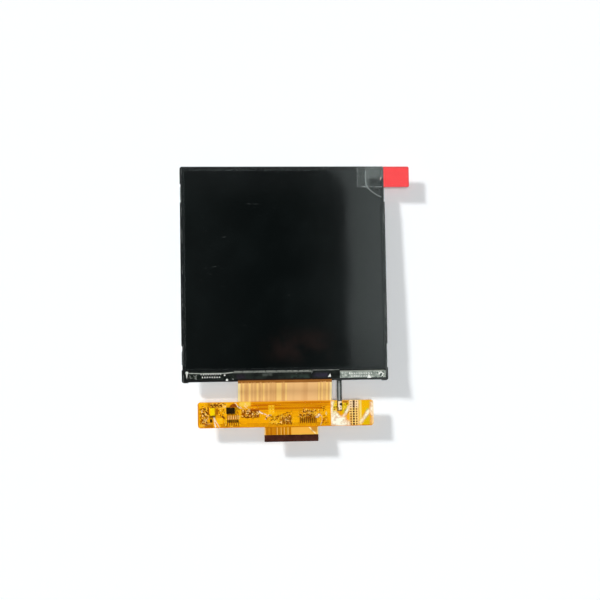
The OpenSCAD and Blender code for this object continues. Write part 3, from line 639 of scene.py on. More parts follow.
CAD_FINISH = {
    "rear_tray": ("tray_metal", 0.06), "mould_frame": ("frame_black", 0.08),
    "reflector_film": ("reflector_white",), "light_guide": ("guide_clear", 0.03),
    "diffuser_film": ("film_diffuse",), "lower_prism_film": ("film_prism",),
    "upper_prism_film": ("film_prism",), "led_flex": ("lamp_flex_dark", 0.02),
    "rim_tape": ("tape_black",), "rear_polarizer": ("polarizer_dark", 0.02),
    "tft_glass": ("ledge_glass", 0.04), "cell_seal": ("seal_grey",),
    "liquid_crystal": ("crystal_dark",), "colour_filter_glass": ("cell_glass", 0.05),
    "front_polarizer": ("polarizer_dark", 0.02), "tab_grip": ("tab_red", 0.01),
    "driver_chip": ("silicon_grey", 0.02), "chip_bond_film": ("bond_grey",),
    "flex_bond_film": ("bond_grey",), "ledge_tape": ("ledge_tape_black", 0.01),
    "main_flex": ("flex_amber", 0.03), "tail_stiffener": ("stiffener_brown", 0.03),
    "contact_fingers": ("contact_gold",), "bare_pads": ("pad_gold",), "tail_solder": ("solder", 0.05),
}
for node in nodes:
    if node in CAD_FINISH:
        dress(node, *CAD_FINISH[node])
    elif node.startswith("led_"):
        dress(node, "lamp", 0.05)


# --- Shapes ---


def new_piece(name, bm, slot, look=None, replaces=(), edges=0.0):
    """A mesh object from a bmesh drawn in millimetres, riding on the part's body."""
    bmesh.ops.scale(bm, vec=(MM, MM, MM), verts=bm.verts)
    bmesh.ops.recalc_face_normals(bm, faces=bm.faces)
    mesh = bpy.data.meshes.new(name)
    bm.to_mesh(mesh)
    bm.free()
    piece = bpy.data.objects.new(name, mesh)
    bpy.context.scene.collection.objects.link(piece)
    mesh.materials.append(materials[look or slot])
    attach(piece, BODY)
    if replaces:
        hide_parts(*replaces)
    if edges:
        bevel(piece, edges)
    return piece


def new_meshes(count):
    return [bmesh.new() for _ in range(count)]


def at(centre, turn, along, across):
    """A place beside the middle of a thing that is turned about Z by radians."""
    p = Vector((along, across))
    p.rotate(Matrix.Rotation(turn, 2))
    return Vector(centre) + p


def join(bm, a, b):
    """Faces between two closed loops of vertices."""
    for i in range(len(a)):
        j = (i + 1) % len(a)
        bm.faces.new([a[i], a[j], b[j], b[i]])


def skin(bm, loops, closed=False):
    """Faces through a row of loops, which is closed into a ring or capped at its ends."""
    if not closed:
        bm.faces.new(loops[0][::-1])
        bm.faces.new(loops[-1])
    for a, b in zip(loops, loops[1:]):
        join(bm, a, b)
    if closed:
        join(bm, loops[-1], loops[0])


def add_prism(bm, outline, low, high):
    """A flat outline of (x, y) points drawn up from low to high."""
    skin(bm, [[bm.verts.new((x, y, z)) for x, y in outline] for z in (low, high)])


def add_block(bm, centre, size, turn=0.0, low=0.0, taper=0.0):
    """A block standing on low; taper narrows its top."""
    l, w, h = size
    loops = []
    for z, k in ((low, 0), (low + h, taper)):
        a, b = l / 2 - k, w / 2 - k
        corners = [at(centre, turn, x, y) for x, y in ((-a, -b), (a, -b), (a, b), (-a, b))]
        loops.append([bm.verts.new((*corner, z)) for corner in corners])
    skin(bm, loops)


def circle_points(x, y, r, count=16, start=0.0):
    """Points of a circle."""
    angles = [start + 2 * math.pi * i / count for i in range(count)]
    return [(x + r * math.cos(a), y + r * math.sin(a)) for a in angles]


def add_ring(bm, x, y, inner, outer, low, high, count=20, gap=0.0, start=0.0):
    """A flat ring, or an open arc of it where gap is the missing angle in radians."""
    loops = []
    for i in range(count + 1 if gap else count):
        a = start + (2 * math.pi - gap) * i / count
        section = ((inner, low), (outer, low), (outer, high), (inner, high))
        loops.append([bm.verts.new((x + r * math.cos(a), y + r * math.sin(a), z)) for r, z in section])
    skin(bm, loops, closed=not gap)


def add_ribbon(bm, points, width, heights, thickness):
    """A thin flat ribbon along (x, y) points, with a height at each and mitred bends."""
    loops, last = [], len(points) - 1
    places = [Vector(point) for point in points]
    for i, (p, z) in enumerate(zip(places, heights)):
        before = places[max(i - 1, 0)]
        d = places[min(i + 1, last)] - before
        if d.length < 1e-9:
            continue
        d.normalize()
        stretch = 1 / max(abs((p - before).normalized().dot(d)), 0.5) if 0 < i < last else 1.0
        n = Vector((-d.y, d.x)) * width / 2 * stretch
        section = ((p + n, z), (p - n, z), (p - n, z + thickness), (p + n, z + thickness))
        loops.append([bm.verts.new((*side, height)) for side, height in section])
    skin(bm, loops)


def grid_places(low, high, nx, ny):
    """Rows of (x, y) places over a rectangle."""
    xs = [low.x + (high.x - low.x) * i / nx for i in range(nx + 1)]
    ys = [low.y + (high.y - low.y) * j / ny for j in range(ny + 1)]
    return [[(x, y) for x in xs] for y in ys]


def add_sheet(bm, places, heights):
    """A sheet through rows of places at their heights. Gives its rows of vertices."""
    rows = [
        [bm.verts.new((x, y, z)) for (x, y), z in zip(*row)] for row in zip(places, heights)
    ]
    for a, b in zip(rows, rows[1:]):
        for i in range(len(a) - 1):
            bm.faces.new([a[i], a[i + 1], b[i + 1], b[i]])
    return rows


def surface_tree(node):
    """A search tree of a CAD node's own faces."""
    bm = bmesh.new()
    bm.from_mesh(nodes[node].data)
    tree = BVHTree.FromBMesh(bm)
    bm.free()
    return tree


FLEX_TREE = surface_tree("main_flex")
LAMP_TREE = surface_tree("led_flex")
CAST_FROM = 0.02


def height_on(tree, x, y):
    """Height of a surface under a place, in millimetres, or None beside it."""
    hit = tree.ray_cast(Vector((x * MM, y * MM, CAST_FROM)), Vector((0, 0, -1)))
    return None if hit[0] is None else hit[0].z / MM


# Thin pieces on a surface reach this far into it, and draped ones stand this far above it
SINK, RISE = 0.004, 0.012


def draped(bm, tree, points, width, step=0.4):
    """A ribbon laid along (x, y) points on a surface, with a point at every step of its way."""
    fine = [points[0]]
    for a, b in zip(points, points[1:]):
        count = max(1, int(math.hypot(b[0] - a[0], b[1] - a[1]) / step)) if step else 1
        shares = [i / count for i in range(1, count + 1)]
        fine += [(a[0] + (b[0] - a[0]) * s, a[1] + (b[1] - a[1]) * s) for s in shares]
    heights = [height_on(tree, x, y) for x, y in fine]
    if None not in heights:
        add_ribbon(bm, fine, width, [z - SINK for z in heights], RISE + SINK)


# --- Small parts on the strip ---


def chip_boxes(node):
    """Centre, (length, width, height), turn and foot of each block in a CAD node."""
    bm = bmesh.new()
    bm.from_mesh(nodes[node].data)
    bmesh.ops.remove_doubles(bm, verts=bm.verts, dist=1e-4 * MM)
    left = set(bm.verts)
    found = []
    while left:
        group, front = set(), [left.pop()]
        while front:
            v = front.pop()
            group.add(v)
            near = {e.other_vert(v) for e in v.link_edges} & left
            left -= near
            front += near
        low = min(v.co.z for v in group)
        high = max(v.co.z for v in group)
        foot = [v.co.xy / MM for v in group if v.co.z < (low + high) / 2]
        centre = sum(foot, Vector((0, 0))) / len(foot)
        foot.sort(key=lambda p: math.atan2(p.y - centre.y, p.x - centre.x))
        a, b = foot[1] - foot[0], foot[2] - foot[1]
        along, across = (a, b) if a.length >= b.length else (b, a)
        size = (along.length, across.length, (high - low) / MM)
        found.append((centre, size, math.atan2(along.y, along.x), low / MM))
    bm.free()
    return sorted(found, key=lambda f: (round(f[0].x, 3), round(f[0].y, 3)))


def add_fillet(bm, centre, turn, sign, l, w, low, height, reach):
    """Solder that climbs the end face of a chip."""
    loops = []
    for across in (-w / 2, w / 2):
        loop = []
        for out, up in ((0, 0), (reach, 0), (reach * 0.35, height * 0.35), (0, height)):
            p = at(centre, turn, sign * (l / 2 + out), across * (1 - 0.25 * out / reach))
            loop.append(bm.verts.new((*p, low + up)))
        loops.append(loop)
    skin(bm, loops)


def chip_set(node, slot="chip_ceramic", end=0.2, body_high=0.92, narrow=1.0, tin="end_amber"):
    """Every chip of a CAD node: ceramic bodies, tinned ends with solder, and their pads."""
    fillet = 0.1
    bodies, ends = new_meshes(2)
    for centre, (l, w, h), turn, low in chip_boxes(node):
        wide = w * narrow
        add_block(bodies, centre, (l * (1 - 1.6 * end), wide * 0.96, h * body_high), turn, low + 0.02)
        for sign in (-1, 1):
            out = l / 2 - l * end / 2
            add_block(ends, at(centre, turn, sign * out, 0), (l * end, wide, h * 0.98), turn, low + 0.01)
            pad = at(centre, turn, sign * (out + fillet * 0.6), 0)
            add_block(ends, pad, (l * end + fillet * 1.6, wide * 1.08, 0.014), turn, low)
            add_fillet(ends, centre, turn, sign, l, wide, low + 0.01, h * 0.55, fillet)
    new_piece(node + "_bodies", bodies, slot, replaces=(node,), edges=0.03)
    new_piece(node + "_ends", ends, "solder", tin, edges=0.025)


SMALL_SETS = [
    "left_chips", "top_chips", "middle_chips", "filter_capacitors", "source_chips", "gamma_chips",
    "resistor_array", *sorted(n for n in nodes if n.startswith("pump_capacitor_")), "diode", "coil",
    "yellow_capacitor",
]
LOOKS = {
    "filter_capacitors": {"tin": "end_dark", "narrow": 0.8},
    "resistor_array": {"tin": "end_dark", "narrow": 0.72, "end": 0.14},
    "middle_chips": {"tin": "end_pale", "end": 0.26},
    "diode": {"slot": "diode_black", "tin": "end_dark", "end": 0.16, "body_high": 0.98},
    "coil": {"slot": "coil_brown", "tin": "end_dark"},
    "yellow_capacitor": {
        "slot": "capacitor_yellow", "tin": "end_dark", "narrow": 0.92, "end": 0.02, "body_high": 0.99},
}


def boost_chip():
    """The moulded chip: chamfered body, a pin mark and leads on two sides."""
    body, leads, mark = new_meshes(3)
    centre, (l, w, h), turn, low = chip_boxes("boost_chip")[0]
    add_block(body, centre, (l, w, h * 0.93), turn, low + 0.03, taper=0.05)
    new_piece("boost_chip_body", body, "chip_black", replaces=("boost_chip",), edges=0.05)
    count = 6
    for side in (-1, 1):
        for i in range(count):
            along = (i - (count - 1) / 2) * l * 0.9 / count
            spot = at(centre, turn, along, side * w * 0.52)
            add_block(leads, spot, (0.26, w * 0.24, h * 0.28), turn, low, taper=0.02)
    new_piece("boost_chip_leads", leads, "solder", "end_dark", edges=0.02)
    spot = at(centre, turn, -l * 0.34, w * 0.28)
    add_ring(mark, *spot, 0.1, 0.17, low + h * 0.94, low + h * 0.98)
    new_piece("boost_chip_mark", mark, "silicon_grey")


for node in SMALL_SETS:
    chip_set(node, **LOOKS.get(node, {}))
boost_chip()


# --- Wiring of the flex ---


def via_rings():
    """Plated rings with a dark hole, which stand for the plain via pads."""
    rings, side_rings, holes = new_meshes(3)
    pads = chip_boxes("via_pads")
    middle = sum(centre.x for centre, *_ in pads) / len(pads)
    hole = 0.15
    for centre, _, _, low in pads:
        # The rings beside the middle column are thinner, most of all the upper ones
        bed, outer = side_rings, 0.32 if centre.y < -51.8 else 0.24
        if abs(centre.x - middle) < 0.3:
            bed, outer = rings, 0.38
        add_ring(bed, *centre, hole, outer, low, low + 0.02, count=16)
        add_prism(holes, circle_points(*centre, hole, 12), low, low + 0.008)
    new_piece("via_rings", rings, "via_copper", replaces=("via_pads",))
    new_piece("via_side_rings", side_rings, "via_copper", "via_thin")
    new_piece("via_holes", holes, "via_copper")


def route(rng, x, y, length, drop):
    """A wire with two 45 degree bends."""
    shift = rng.choice((-1, 1)) * drop
    first = length * rng.uniform(0.25, 0.75)
    return [(x, y), (x + first, y), (x + first + drop, y + shift), (x + length + drop, y + shift)]


WIRED = [
    # x from and to, y from and to, routes, short drops, plated spots
    (-32.4, -29.4, -57.6, -50.2, 20, 12, 12), (-28.6, -22.0, -50.8, -48.9, 10, 12, 10),
    (-25.6, -22.6, -54.2, -50.4, 4, 6, 6), (-18.6, -11.2, -54.9, -50.9, 16, 14, 12),
    (-6.8, -1.2, -57.6, -54.2, 14, 8, 14), (-2.4, 2.2, -57.4, -53.0, 14, 16, 12),
    (4.6, 13.0, -55.2, -51.6, 26, 34, 24), (13.2, 16.6, -57.6, -50.4, 8, 4, 6),
    (-24.0, -17.0, -58.1, -56.7, 8, 0, 2), (18.2, 19.4, -53.2, -49.4, 5, 4, 4),
    (22.0, 24.0, -53.6, -49.4, 6, 5, 5),
]


def strip_wiring():
    """Copper runs and dark gaps on the strip, densest around the small parts."""
    rng = random.Random(SEED)
    copper, gaps = new_meshes(2)

    # Long parallel runs under the neck and along the lower edge
    for i in range(7):
        y = TOP - 0.6 - i * 0.42
        draped(gaps, FLEX_TREE, [(-13.0 + i * 0.5, y), (16.8 - 0.3 * i, y)], 0.09, step=3)
    for i in range(3):
        y = BOTTOM + 0.65 + i * 0.4
        draped(gaps, FLEX_TREE, [(-17 + i, y), (16.5 - 0.6 * i, y)], 0.08, step=3)
    for x0, x1, y0, y1, routes, drops, spots in WIRED:
        for _ in range(routes):
            x, y = rng.uniform(x0, x1 - 1), rng.uniform(y0, y1)
            wire = route(rng, x, y, rng.uniform(0.4, 1.6), rng.uniform(0.2, 0.6))
            bed = copper if rng.random() < 0.4 else gaps
            draped(bed, FLEX_TREE, wire, rng.choice((0.12, 0.18, 0.26)), step=0)
        for _ in range(drops):
            x, y = rng.uniform(x0, x1), rng.uniform(y0 + 0.6, y1)
            bed = copper if rng.random() < 0.45 else gaps
            draped(bed, FLEX_TREE, [(x, y), (x, y - rng.uniform(0.4, 1.2))], rng.choice((0.14, 0.22)), step=0)
        for _ in range(spots):
            bed = copper if rng.random() < 0.6 else gaps
            x, y, r = rng.uniform(x0, x1), rng.uniform(y0, y1), rng.uniform(0.14, 0.3)
            z = height_on(FLEX_TREE, x, y)
            if z is not None:
                add_prism(bed, circle_points(x, y, r, 10), z - SINK, z + 0.014)
    new_piece("flex_copper", copper, "pad_gold")
    new_piece("flex_gaps", gaps, "flex_amber", "flex_gap")


def neck_wiring():
    """Fine wires down the neck and the wired half of the tail."""
    rng = random.Random(SEED + 3)
    fine, tail_fine = new_meshes(2)
    x = NECK_LEFT + 1.1
    while x < NECK_RIGHT - 0.9:
        if not any(a - 0.1 < x < b + 0.1 for a, b in [*NECK_STRIPES, NECK_CALM]):
            width = rng.choice((0.1, 0.14, 0.22))
            draped(fine, FLEX_TREE, [(x, FRAME_EDGE), (x, TOP + 0.1)], width, step=0.35)
        x += rng.uniform(0.3, 0.7)
    x = STIFF_LOW.x + 0.5
    while x < TAIL_MIDDLE - 0.2:
        if not any(abs(x - line) < 0.25 for line in TAIL_LINES):
            draped(tail_fine, FLEX_TREE, [(x, BOTTOM), (x, STIFF_HIGH.y + 0.03)], 0.14, step=0)
        x += 0.34
    new_piece("neck_wires", fine, "flex_amber", "flex_wire")
    new_piece("tail_wires", tail_fine, "flex_amber", "tail_wire")


def shapes_on_strip():
    """Copper shapes that stand out on the strip: bars, pads, rings and a fan of fingers, and painted
    highlights.
    """
    brown, pale, olive, shine = new_meshes(4)
    z = height_on(FLEX_TREE, 0, (TOP + BOTTOM) / 2)

    def plate(bm, x0, y0, x1, y1, rise=0.012):
        size = (abs(x1 - x0), abs(y1 - y0), rise + SINK)
        add_block(bm, ((x0 + x1) / 2, (y0 + y1) / 2), size, low=z - SINK)

    def patch(bm, outline, rise):
        add_prism(bm, outline, z - SINK, z + rise)

    # Bars beside the yellow capacitor and the patch above the moulded chip
    plate(brown, -29.85, -50.5, -29.2, -53.5)
    plate(brown, -26.3, -51.0, -25.9, -53.3)
    patch(brown, [(-21.6, -50.7), (-20.9, -49.8), (-20.0, -49.2), (-18.9, -49.6), (-18.6, -50.7)], 0.01)
    plate(pale, -26.2, -54.6, -24.0, -56.8)
    plate(pale, -23.2, -54.6, -22.4, -55.5, 0.02)
    plate(pale, -23.2, -55.9, -22.4, -56.7, 0.02)
    plate(olive, -22.5, -55.45, -18.0, -56.3, 0.006)
    # Fingers below the moulded chip
    for i in range(7):
        x = -22.3 + i * 0.67
        plate(brown, x, -53.6, x + 0.18, -55.3)
        plate(shine, x + 0.28, -53.8, x + 0.5, -55.2, 0.018)
        plate(brown, x + 0.05, -56.5, x + 0.28, -57.7)
        plate(pale, x + 0.36, -56.5, x + 0.56, -57.5, 0.018)
    # Pale block with two rows of pads, and rings right of it
    plate(pale, -6.7, -50.0, -4.3, -53.7, 0.008)
    for x, y, r in ((-4.9, -55.1, 0.55), (-3.4, -56.5, 0.5), (-2.3, -55.4, 0.5), (-5.6, -56.5, 0.45)):
        add_ring(pale, x, y, r * 0.55, r, z - SINK, z + 0.012, gap=0.9, start=x)
    # Short stubs at the row of parts in the middle and at the array
    for i in range(9):
        x = 5.1 + i * 0.7
        plate(brown, x, -53.9, x + 0.2, -54.5)
        plate(pale, x + 0.32, -53.8, x + 0.46, -54.6)
    for i in range(8):
        x = 5.6 + i * 0.74
        plate(brown, x - 0.08, -56.4, x + 0.08, -57.2)
        plate(pale, x + 0.28, -55.1, x + 0.42, -57.0)
    # Soldered row along the left end
    for i in range(5):
        plate(pale, -32.6, -50.3 - i * 1.5, -32.2, -50.9 - i * 1.5)
        plate(brown, -31.9, -50.0 - i * 1.45, -31.2, -50.25 - i * 1.45)
    # Painted highlights: bright spots where the parts under the tape catch the light, an oval one, and a
    # glint along a crease of the tape
    rng = random.Random(SEED + 4)
    for x0, x1, y0, y1, count in (
        (-32.3, -30.2, -56.4, -51.6, 10), (-16.7, -10.4, -54.4, -51.8, 14), (-2.0, 1.9, -56.8, -54.4, 5),
        (5.2, 11.4, -54.6, -52.2, 8), (-25.4, -23.0, -51.0, -49.2, 3), (-17.4, -14.4, -50.9, -49.1, 8),
    ):
        for _ in range(count):
            x, y = rng.uniform(x0, x1), rng.uniform(y0, y1)
            patch(shine, circle_points(x, y, rng.uniform(0.18, 0.36), 9, x), 0.03)
    patch(shine, [(15.45 + 0.3 * a, -53.5 + 0.75 * b) for a, b in circle_points(0, 0, 1, 14)], 0.02)
    curve = [(13.3, -54.2), (13.75, -54.9), (13.85, -55.8), (13.6, -56.8), (13.15, -58.1)]
    draped(shine, FLEX_TREE, curve, 0.24)
    # Lines at both sides of the via columns
    for x in (23.95, 28.15):
        plate(pale, x - 0.12, TOP - 0.3, x + 0.12, BOTTOM + 0.3, 0.006)
    new_piece("flex_shapes_brown", brown, "flex_amber", "flex_bare_brown")
    new_piece("flex_shapes_yellow", pale, "pad_gold", "flex_yellow")
    new_piece("flex_shapes_shine", shine, "pad_gold", "flex_highlight")
    new_piece("flex_shapes_olive", olive, "flex_amber", "flex_olive")


def lamp_tail_details():
    """The lamp flex's pale middle line, and the pads and flux at its solder joint."""
    lines, pads, flux = new_meshes(3)
    middle = LAMP_X - 0.05
    draped(lines, LAMP_TREE, [(middle, FRAME_EDGE), (middle, -48.7)], 0.55, step=0.25)
    z = height_on(FLEX_TREE, LAMP_X - 2, JOINT_Y)
    for y in (-49.95, -52.05):
        add_block(pads, (LAMP_X - 1.45, y), (0.6, 0.8, 0.02), low=z)
        add_block(pads, (LAMP_X + 1.5, y), (0.5, 0.8, 0.02), low=z)
    top = height_on(LAMP_TREE, LAMP_X, JOINT_Y)
    add_block(flux, (LAMP_X + 0.12, -50.7), (1.3, 3.5, 0.012), low=top)
    for x, y, r, high in ((21.1, -50.15, 0.52, 0.1), (21.05, -50.1, 0.36, 0.135), (20.9, -51.3, 0.2, 0.02)):
        add_prism(lines, circle_points(x, y, r, 12), top, top + high)
    add_block(lines, (LAMP_X - 0.6, -51.9), (0.5, 1.3, 0.02), low=top)
    add_block(lines, (LAMP_X + 0.3, -52.4), (1.2, 0.5, 0.02), low=top)
    new_piece("lamp_tail_lines", lines, "led_flex_dark", "lamp_tail_line")
    new_piece("lamp_tail_flux", flux, "pad_gold", "joint_flux")
    new_piece("lamp_tail_pads", pads, "pad_gold", edges=0.01)


via_rings()
strip_wiring()
neck_wiring()
shapes_on_strip()
lamp_tail_details()


# --- Ledge of the lower glass ---


def ledge_details():
    """Aligned marks, dummy metal and the bright metal line on the bare ledge."""
    foot = box_mm("tft_glass")[1].z - 0.002
    # Edge of the marks' area, from which their places are measured
    edge = LINE_Y + 0.5
    bright, pale, dark, line, gleams = new_meshes(5)
    rng = random.Random(SEED + 1)

    def ribbon(bm, width, *points):
        """A flat line through x and height above LINE_Y."""
        points = [(x, LINE_Y + up) for x, up in points]
        add_ribbon(bm, points, width, [foot] * len(points), 0.008)

    def mark(bm, outline, height=0.008):
        add_prism(bm, outline, foot, foot + height)

    def dots(bm, height, places):
        for x, y, r in places:
            mark(bm, circle_points(x, y, r, 12), height)

    # Line below the upper glass: higher and broken along the tape, thin before the right end
    ribbon(line, 0.3, (-36.6, 0.1), (-31, -0.1), (-23, -0.08), (-19.95, 0.2))
    x = -19.6
    while x < 9.8:
        end = min(x + rng.uniform(1.6, 5.0), 9.8)
        ribbon(pale, 0.44, (x, 0.54), (end, 0.54))
        x = end + rng.uniform(0.1, 0.3)
    ribbon(line, 0.18, (10.0, 0.66), (20.6, 0.68))
    ribbon(pale, 0.36, (20.8, 0.15), (37.9, 0.2))
    # Left group: a row of teeth above a row of small marks
    upper, lower = LINE_Y - 0.2, LINE_Y - 1.75
    for i in range(9):
        x = -32.3 + i * 0.92
        mark(bright, [(x + 0.05, upper), (x + 0.6, upper), (x + 0.3, upper - 0.6)])
        if i < 8:
            mark(bright, [(x + 0.56, lower), (x + 1.08, lower), (x + 0.84, lower + 0.66)])
    # Alignment mark: a round head with a pointed tail
    mark(bright, circle_points(-37.35, edge - 0.25, 0.56, 16), 0.014)
    mark(bright, [(-37.75, edge - 0.4), (-36.95, edge - 0.4), (-37.4, edge - 2.5)], 0.014)
    add_ring(pale, -33.4, edge - 2.0, 0.72, 0.9, foot, foot + 0.008, gap=3.6, start=1.8)
    dots(bright, 0.012, ((-22.25, edge - 3.1, 0.42), (-23.1, edge - 1.3, 0.3), (-19.9, edge - 2.8, 0.2)))
    # Right group: hatched dummy metal
    for row in range(2):
        y = edge - 0.75 - row * 1.05
        x = 24.4 + 0.6 * row
        tip = 0.4 if row else -0.4
        while x < 33.2 - row:
            mark(bright, [(x, y - 0.8), (x + 0.46, y - 0.8), (x + 0.2 + tip, y)])
            mark(dark, [(x + 0.46, y), (x + 0.84, y), (x + 0.7 - tip, y - 0.75)], 0.007)
            x += 0.93
    mark(bright, [(31.2, edge - 3.1), (32.8, edge - 3.1), (32.2, edge - 2.0), (31.7, edge - 1.8)], 0.014)
    dots(dark, 0.01, (
        (36.4, edge - 2.1, 0.45), (35.2, edge - 1.2, 0.32), (37.3, edge - 0.9, 0.3), (34.6, edge - 2.8, 0.3)))
    mark(bright, circle_points(36.6, LINE_Y - 1.15, 0.95, 9), 0.007)
    add_block(dark, (36.7, LINE_Y - 1.2), (0.7, 0.75, 0.012), 0.3, foot)
    for _ in range(46):
        x, y, r = rng.uniform(21.4, 38), rng.uniform(edge - 3.1, edge - 0.4), rng.uniform(0.07, 0.22)
        if not 24.4 < x < 33.8:
            mark(dark if rng.random() < 0.6 else bright, circle_points(x, y, r, 7, x), 0.007)
    for _ in range(26):
        x, y = rng.uniform(-36.6, -33.4), rng.uniform(edge - 3.0, edge - 0.8)
        mark(pale, circle_points(x, y, rng.uniform(0.06, 0.16), 6, x), 0.006)
    # Where the tape over the joint catches the light
    top = box_mm("ledge_tape")[1].z
    for outline in (
        [(16.1, -39.7), (17.3, -39.7), (17.1, -38.3)], [(3.9, -38.0), (4.5, -38.0), (4.2, -38.4)],
        [(5.9, -38.0), (6.5, -38.0), (6.2, -38.3)], [(9.5, -37.8), (10.4, -37.8), (9.9, -38.2)],
    ):
        add_prism(gleams, outline, top - 0.01, top)
    new_piece("ledge_tape_gleams", gleams, "tape_black", "ledge_bright")
    new_piece("ledge_bright_marks", bright, "ledge_glass", "ledge_bright")
    new_piece("ledge_pale_marks", pale, "ledge_glass", "ledge_pale")
    new_piece("ledge_line", line, "ledge_glass", "ledge_line")
    new_piece("ledge_dark_marks", dark, "ledge_glass", "ledge_dark")


# --- Protective film and its pull tab ---


def protective_sheet():
    """The film as a thin sheet with faint waves, lifted a little at the corner under the tab."""
    low, high = box_mm("protective_film")
    lift_x, lift_y, reach = 41.5, 38.5, 9.6
    parts = 110

    def height(x, y):
        wave = 0.003 * math.sin(x * 0.21 + 0.4) * math.cos(y * 0.17)
        corner = max(0.0, 1 - math.hypot(x - lift_x, y - lift_y) / reach)
        return high.z - 0.012 + wave + 0.006 * math.sqrt(corner)

    bm = bmesh.new()
    places = grid_places(low, high, parts, parts)
    rows = add_sheet(bm, places, [[height(*place) for place in row] for row in places])
    rim = rows[0] + [r[-1] for r in rows[1:]] + rows[-1][-2::-1] + [r[0] for r in rows[-2:0:-1]]
    join(bm, rim, [bm.verts.new((v.co.x, v.co.y, low.z + 0.004)) for v in rim])
    piece = new_piece("protective_sheet", bm, "protective_clear", replaces=("protective_film",))
    for face in piece.data.polygons:
        face.use_smooth = abs(face.normal.z) > 0.5


def tab_sheet():
    """Clear tape of the pull tab, with rounded outer corners and a painted highlight along its cut edges."""
    low, high = box_mm("tab_tape")
    tape, edge = new_meshes(2)
    r, steps = 0.7, 8
    outline = [(low.x, low.y), (high.x - r, low.y)]
    for start, y in ((-math.pi / 2, low.y + r), (0.0, high.y - r)):
        angles = [start + i * math.pi / 2 / steps for i in range(1, steps + 1)]
        outline += [(high.x - r + r * math.cos(a), y + r * math.sin(a)) for a in angles]
    outline.append((low.x, high.y))
    add_prism(tape, outline, low.z + 0.008, high.z)
    new_piece("tab_tape_sheet", tape, "tab_clear", replaces=("tab_tape",), edges=0.01)
    heights = [high.z - 0.004] * 2
    add_ribbon(edge, [(low.x + 0.9, low.y + 0.14), (38.6, low.y + 0.14)], 0.2, heights, 0.008)
    add_ribbon(edge, [(low.x + 0.1, low.y + 0.2), (low.x + 0.1, high.y - 0.2)], 0.1, heights, 0.008)
    new_piece("tab_tape_edge", edge, "tab_clear", "tab_edge")


# --- Clear tapes over the strip ---


def obstacles(names):
    """Boxes of parts under a tape: centre, half length, half width, turn and top."""
    return [
        (centre, l / 2, w / 2, turn, low + h)
        for name in names for centre, (l, w, h), turn, low in chip_boxes(name)
    ]


def tape_sheet(name, node, slot, things, crumple):
    """Clear tape pulled down over the parts below it, as a fine sheet."""
    low, high = box_mm(node)
    step = 0.26
    nx, ny = int((high.x - low.x) / step), int((high.y - low.y) / step)
    places = grid_places(low, high, nx, ny)

    def needed(x, y):
        z = low.z + 0.03
        for centre, a, b, turn, top in things:
            if math.hypot(x - centre.x, y - centre.y) > a + b + 0.4:
                continue
            p = at((0, 0), -turn, x - centre.x, y - centre.y)
            if abs(p.x) < a + 0.16 and abs(p.y) < b + 0.16:
                z = max(z, min(top + 0.025, high.z - 0.01))
        return z

    need = [[needed(*place) for place in row] for row in places]
    lie = [row[:] for row in need]
    inner = [(i, j) for j in range(1, ny) for i in range(1, nx)]
    for _ in range(14):
        for i, j in inner:
            mean = (lie[j - 1][i] + lie[j + 1][i] + lie[j][i - 1] + lie[j][i + 1]) / 4
            lie[j][i] = max(need[j][i], mean)
    rng = random.Random(SEED + 2)
    for i, j in inner:
        lie[j][i] = min(lie[j][i] + rng.uniform(0, crumple), high.z)
    bm = bmesh.new()
    add_sheet(bm, places, lie)
    piece = new_piece(name, bm, slot, replaces=(node,))
    for face in piece.data.polygons:
        face.use_smooth = True
    # So thin and clear a sheet would only darken what lies below it
    piece.visible_shadow = False


ledge_details()
protective_sheet()
tab_sheet()
small_parts = obstacles([*SMALL_SETS, "boost_chip"])
tape_sheet("component_tape_sheet", "component_tape", "tape_amber", small_parts, 0.015)
# The lamp flex's tail, from its end to a little above the strip
tail_low, tail_high = box_mm("led_flex")[0].y, TOP + 0.4
lamp_tail = (
    Vector((LAMP_X, (tail_low + tail_high) / 2)), 0.95, (tail_high - tail_low) / 2, 0.0,
    height_on(LAMP_TREE, LAMP_X, JOINT_Y),
)
tape_sheet("joint_tape_sheet", "joint_tape", "tape_clear", [lamp_tail, *obstacles(["tail_solder"])], 0.025)


# --- Stage, light and camera ---

# The floor falls away a little below the flex; its height at the origin, then its slopes
FLOOR_Z = -4.0
FLOOR_SLOPE = (-0.0081, 0.0307)
FLOOR_SIZE = 2400
CAMERA_PLACE = (-44.74, -45.39, 538.32)
CAMERA_TURN = (3.815, -5.336, -0.949)
CAMERA_LENS = 85
# Where each lamp shines to, and the share of full light that it gives the floor
KEY_AWAY, KEY_SHARE = (9.3, -6.9, -7.0), 0.43
TOP_AWAY, TOP_SHARE = (0.095, 0.065, -1), 0.36
# Width of each lamp in the sky, in degrees
KEY_ANGLE, TOP_ANGLE = 7, 14
SKY_LEVEL = 0.2
ROOM_LEVEL = 0.35
FLOOR_GLOW = 0.1
WHITE = (1, 1, 1, 1)


def floor():
    """A plain white floor that keeps the shadow."""
    paint = Paint("floor_white", specular=0.0)
    tone = paint.mix(paint.noise(400, 1), (0.91, 0.945, 0.965, 1), (0.925, 0.955, 0.975, 1))
    seen = paint.rays("Camera", "Glossy", "Transmission")
    paint.fill({"Emission Color": WHITE, "Emission Strength": seen * FLOOR_GLOW})
    half = FLOOR_SIZE / 2
    corners = [(-half, -half), (half, -half), (half, half), (-half, half)]
    places = [(x, y, FLOOR_Z + FLOOR_SLOPE[0] * x + FLOOR_SLOPE[1] * y) for x, y in corners]
    mesh = bpy.data.meshes.new("floor")
    mesh.from_pydata([[c * MM for c in place] for place in places], [], [(0, 1, 2, 3)])
    mesh.materials.append(paint.done(tone, 0.9))
    plane = bpy.data.objects.new("floor", mesh)
    bpy.context.scene.collection.objects.link(plane)


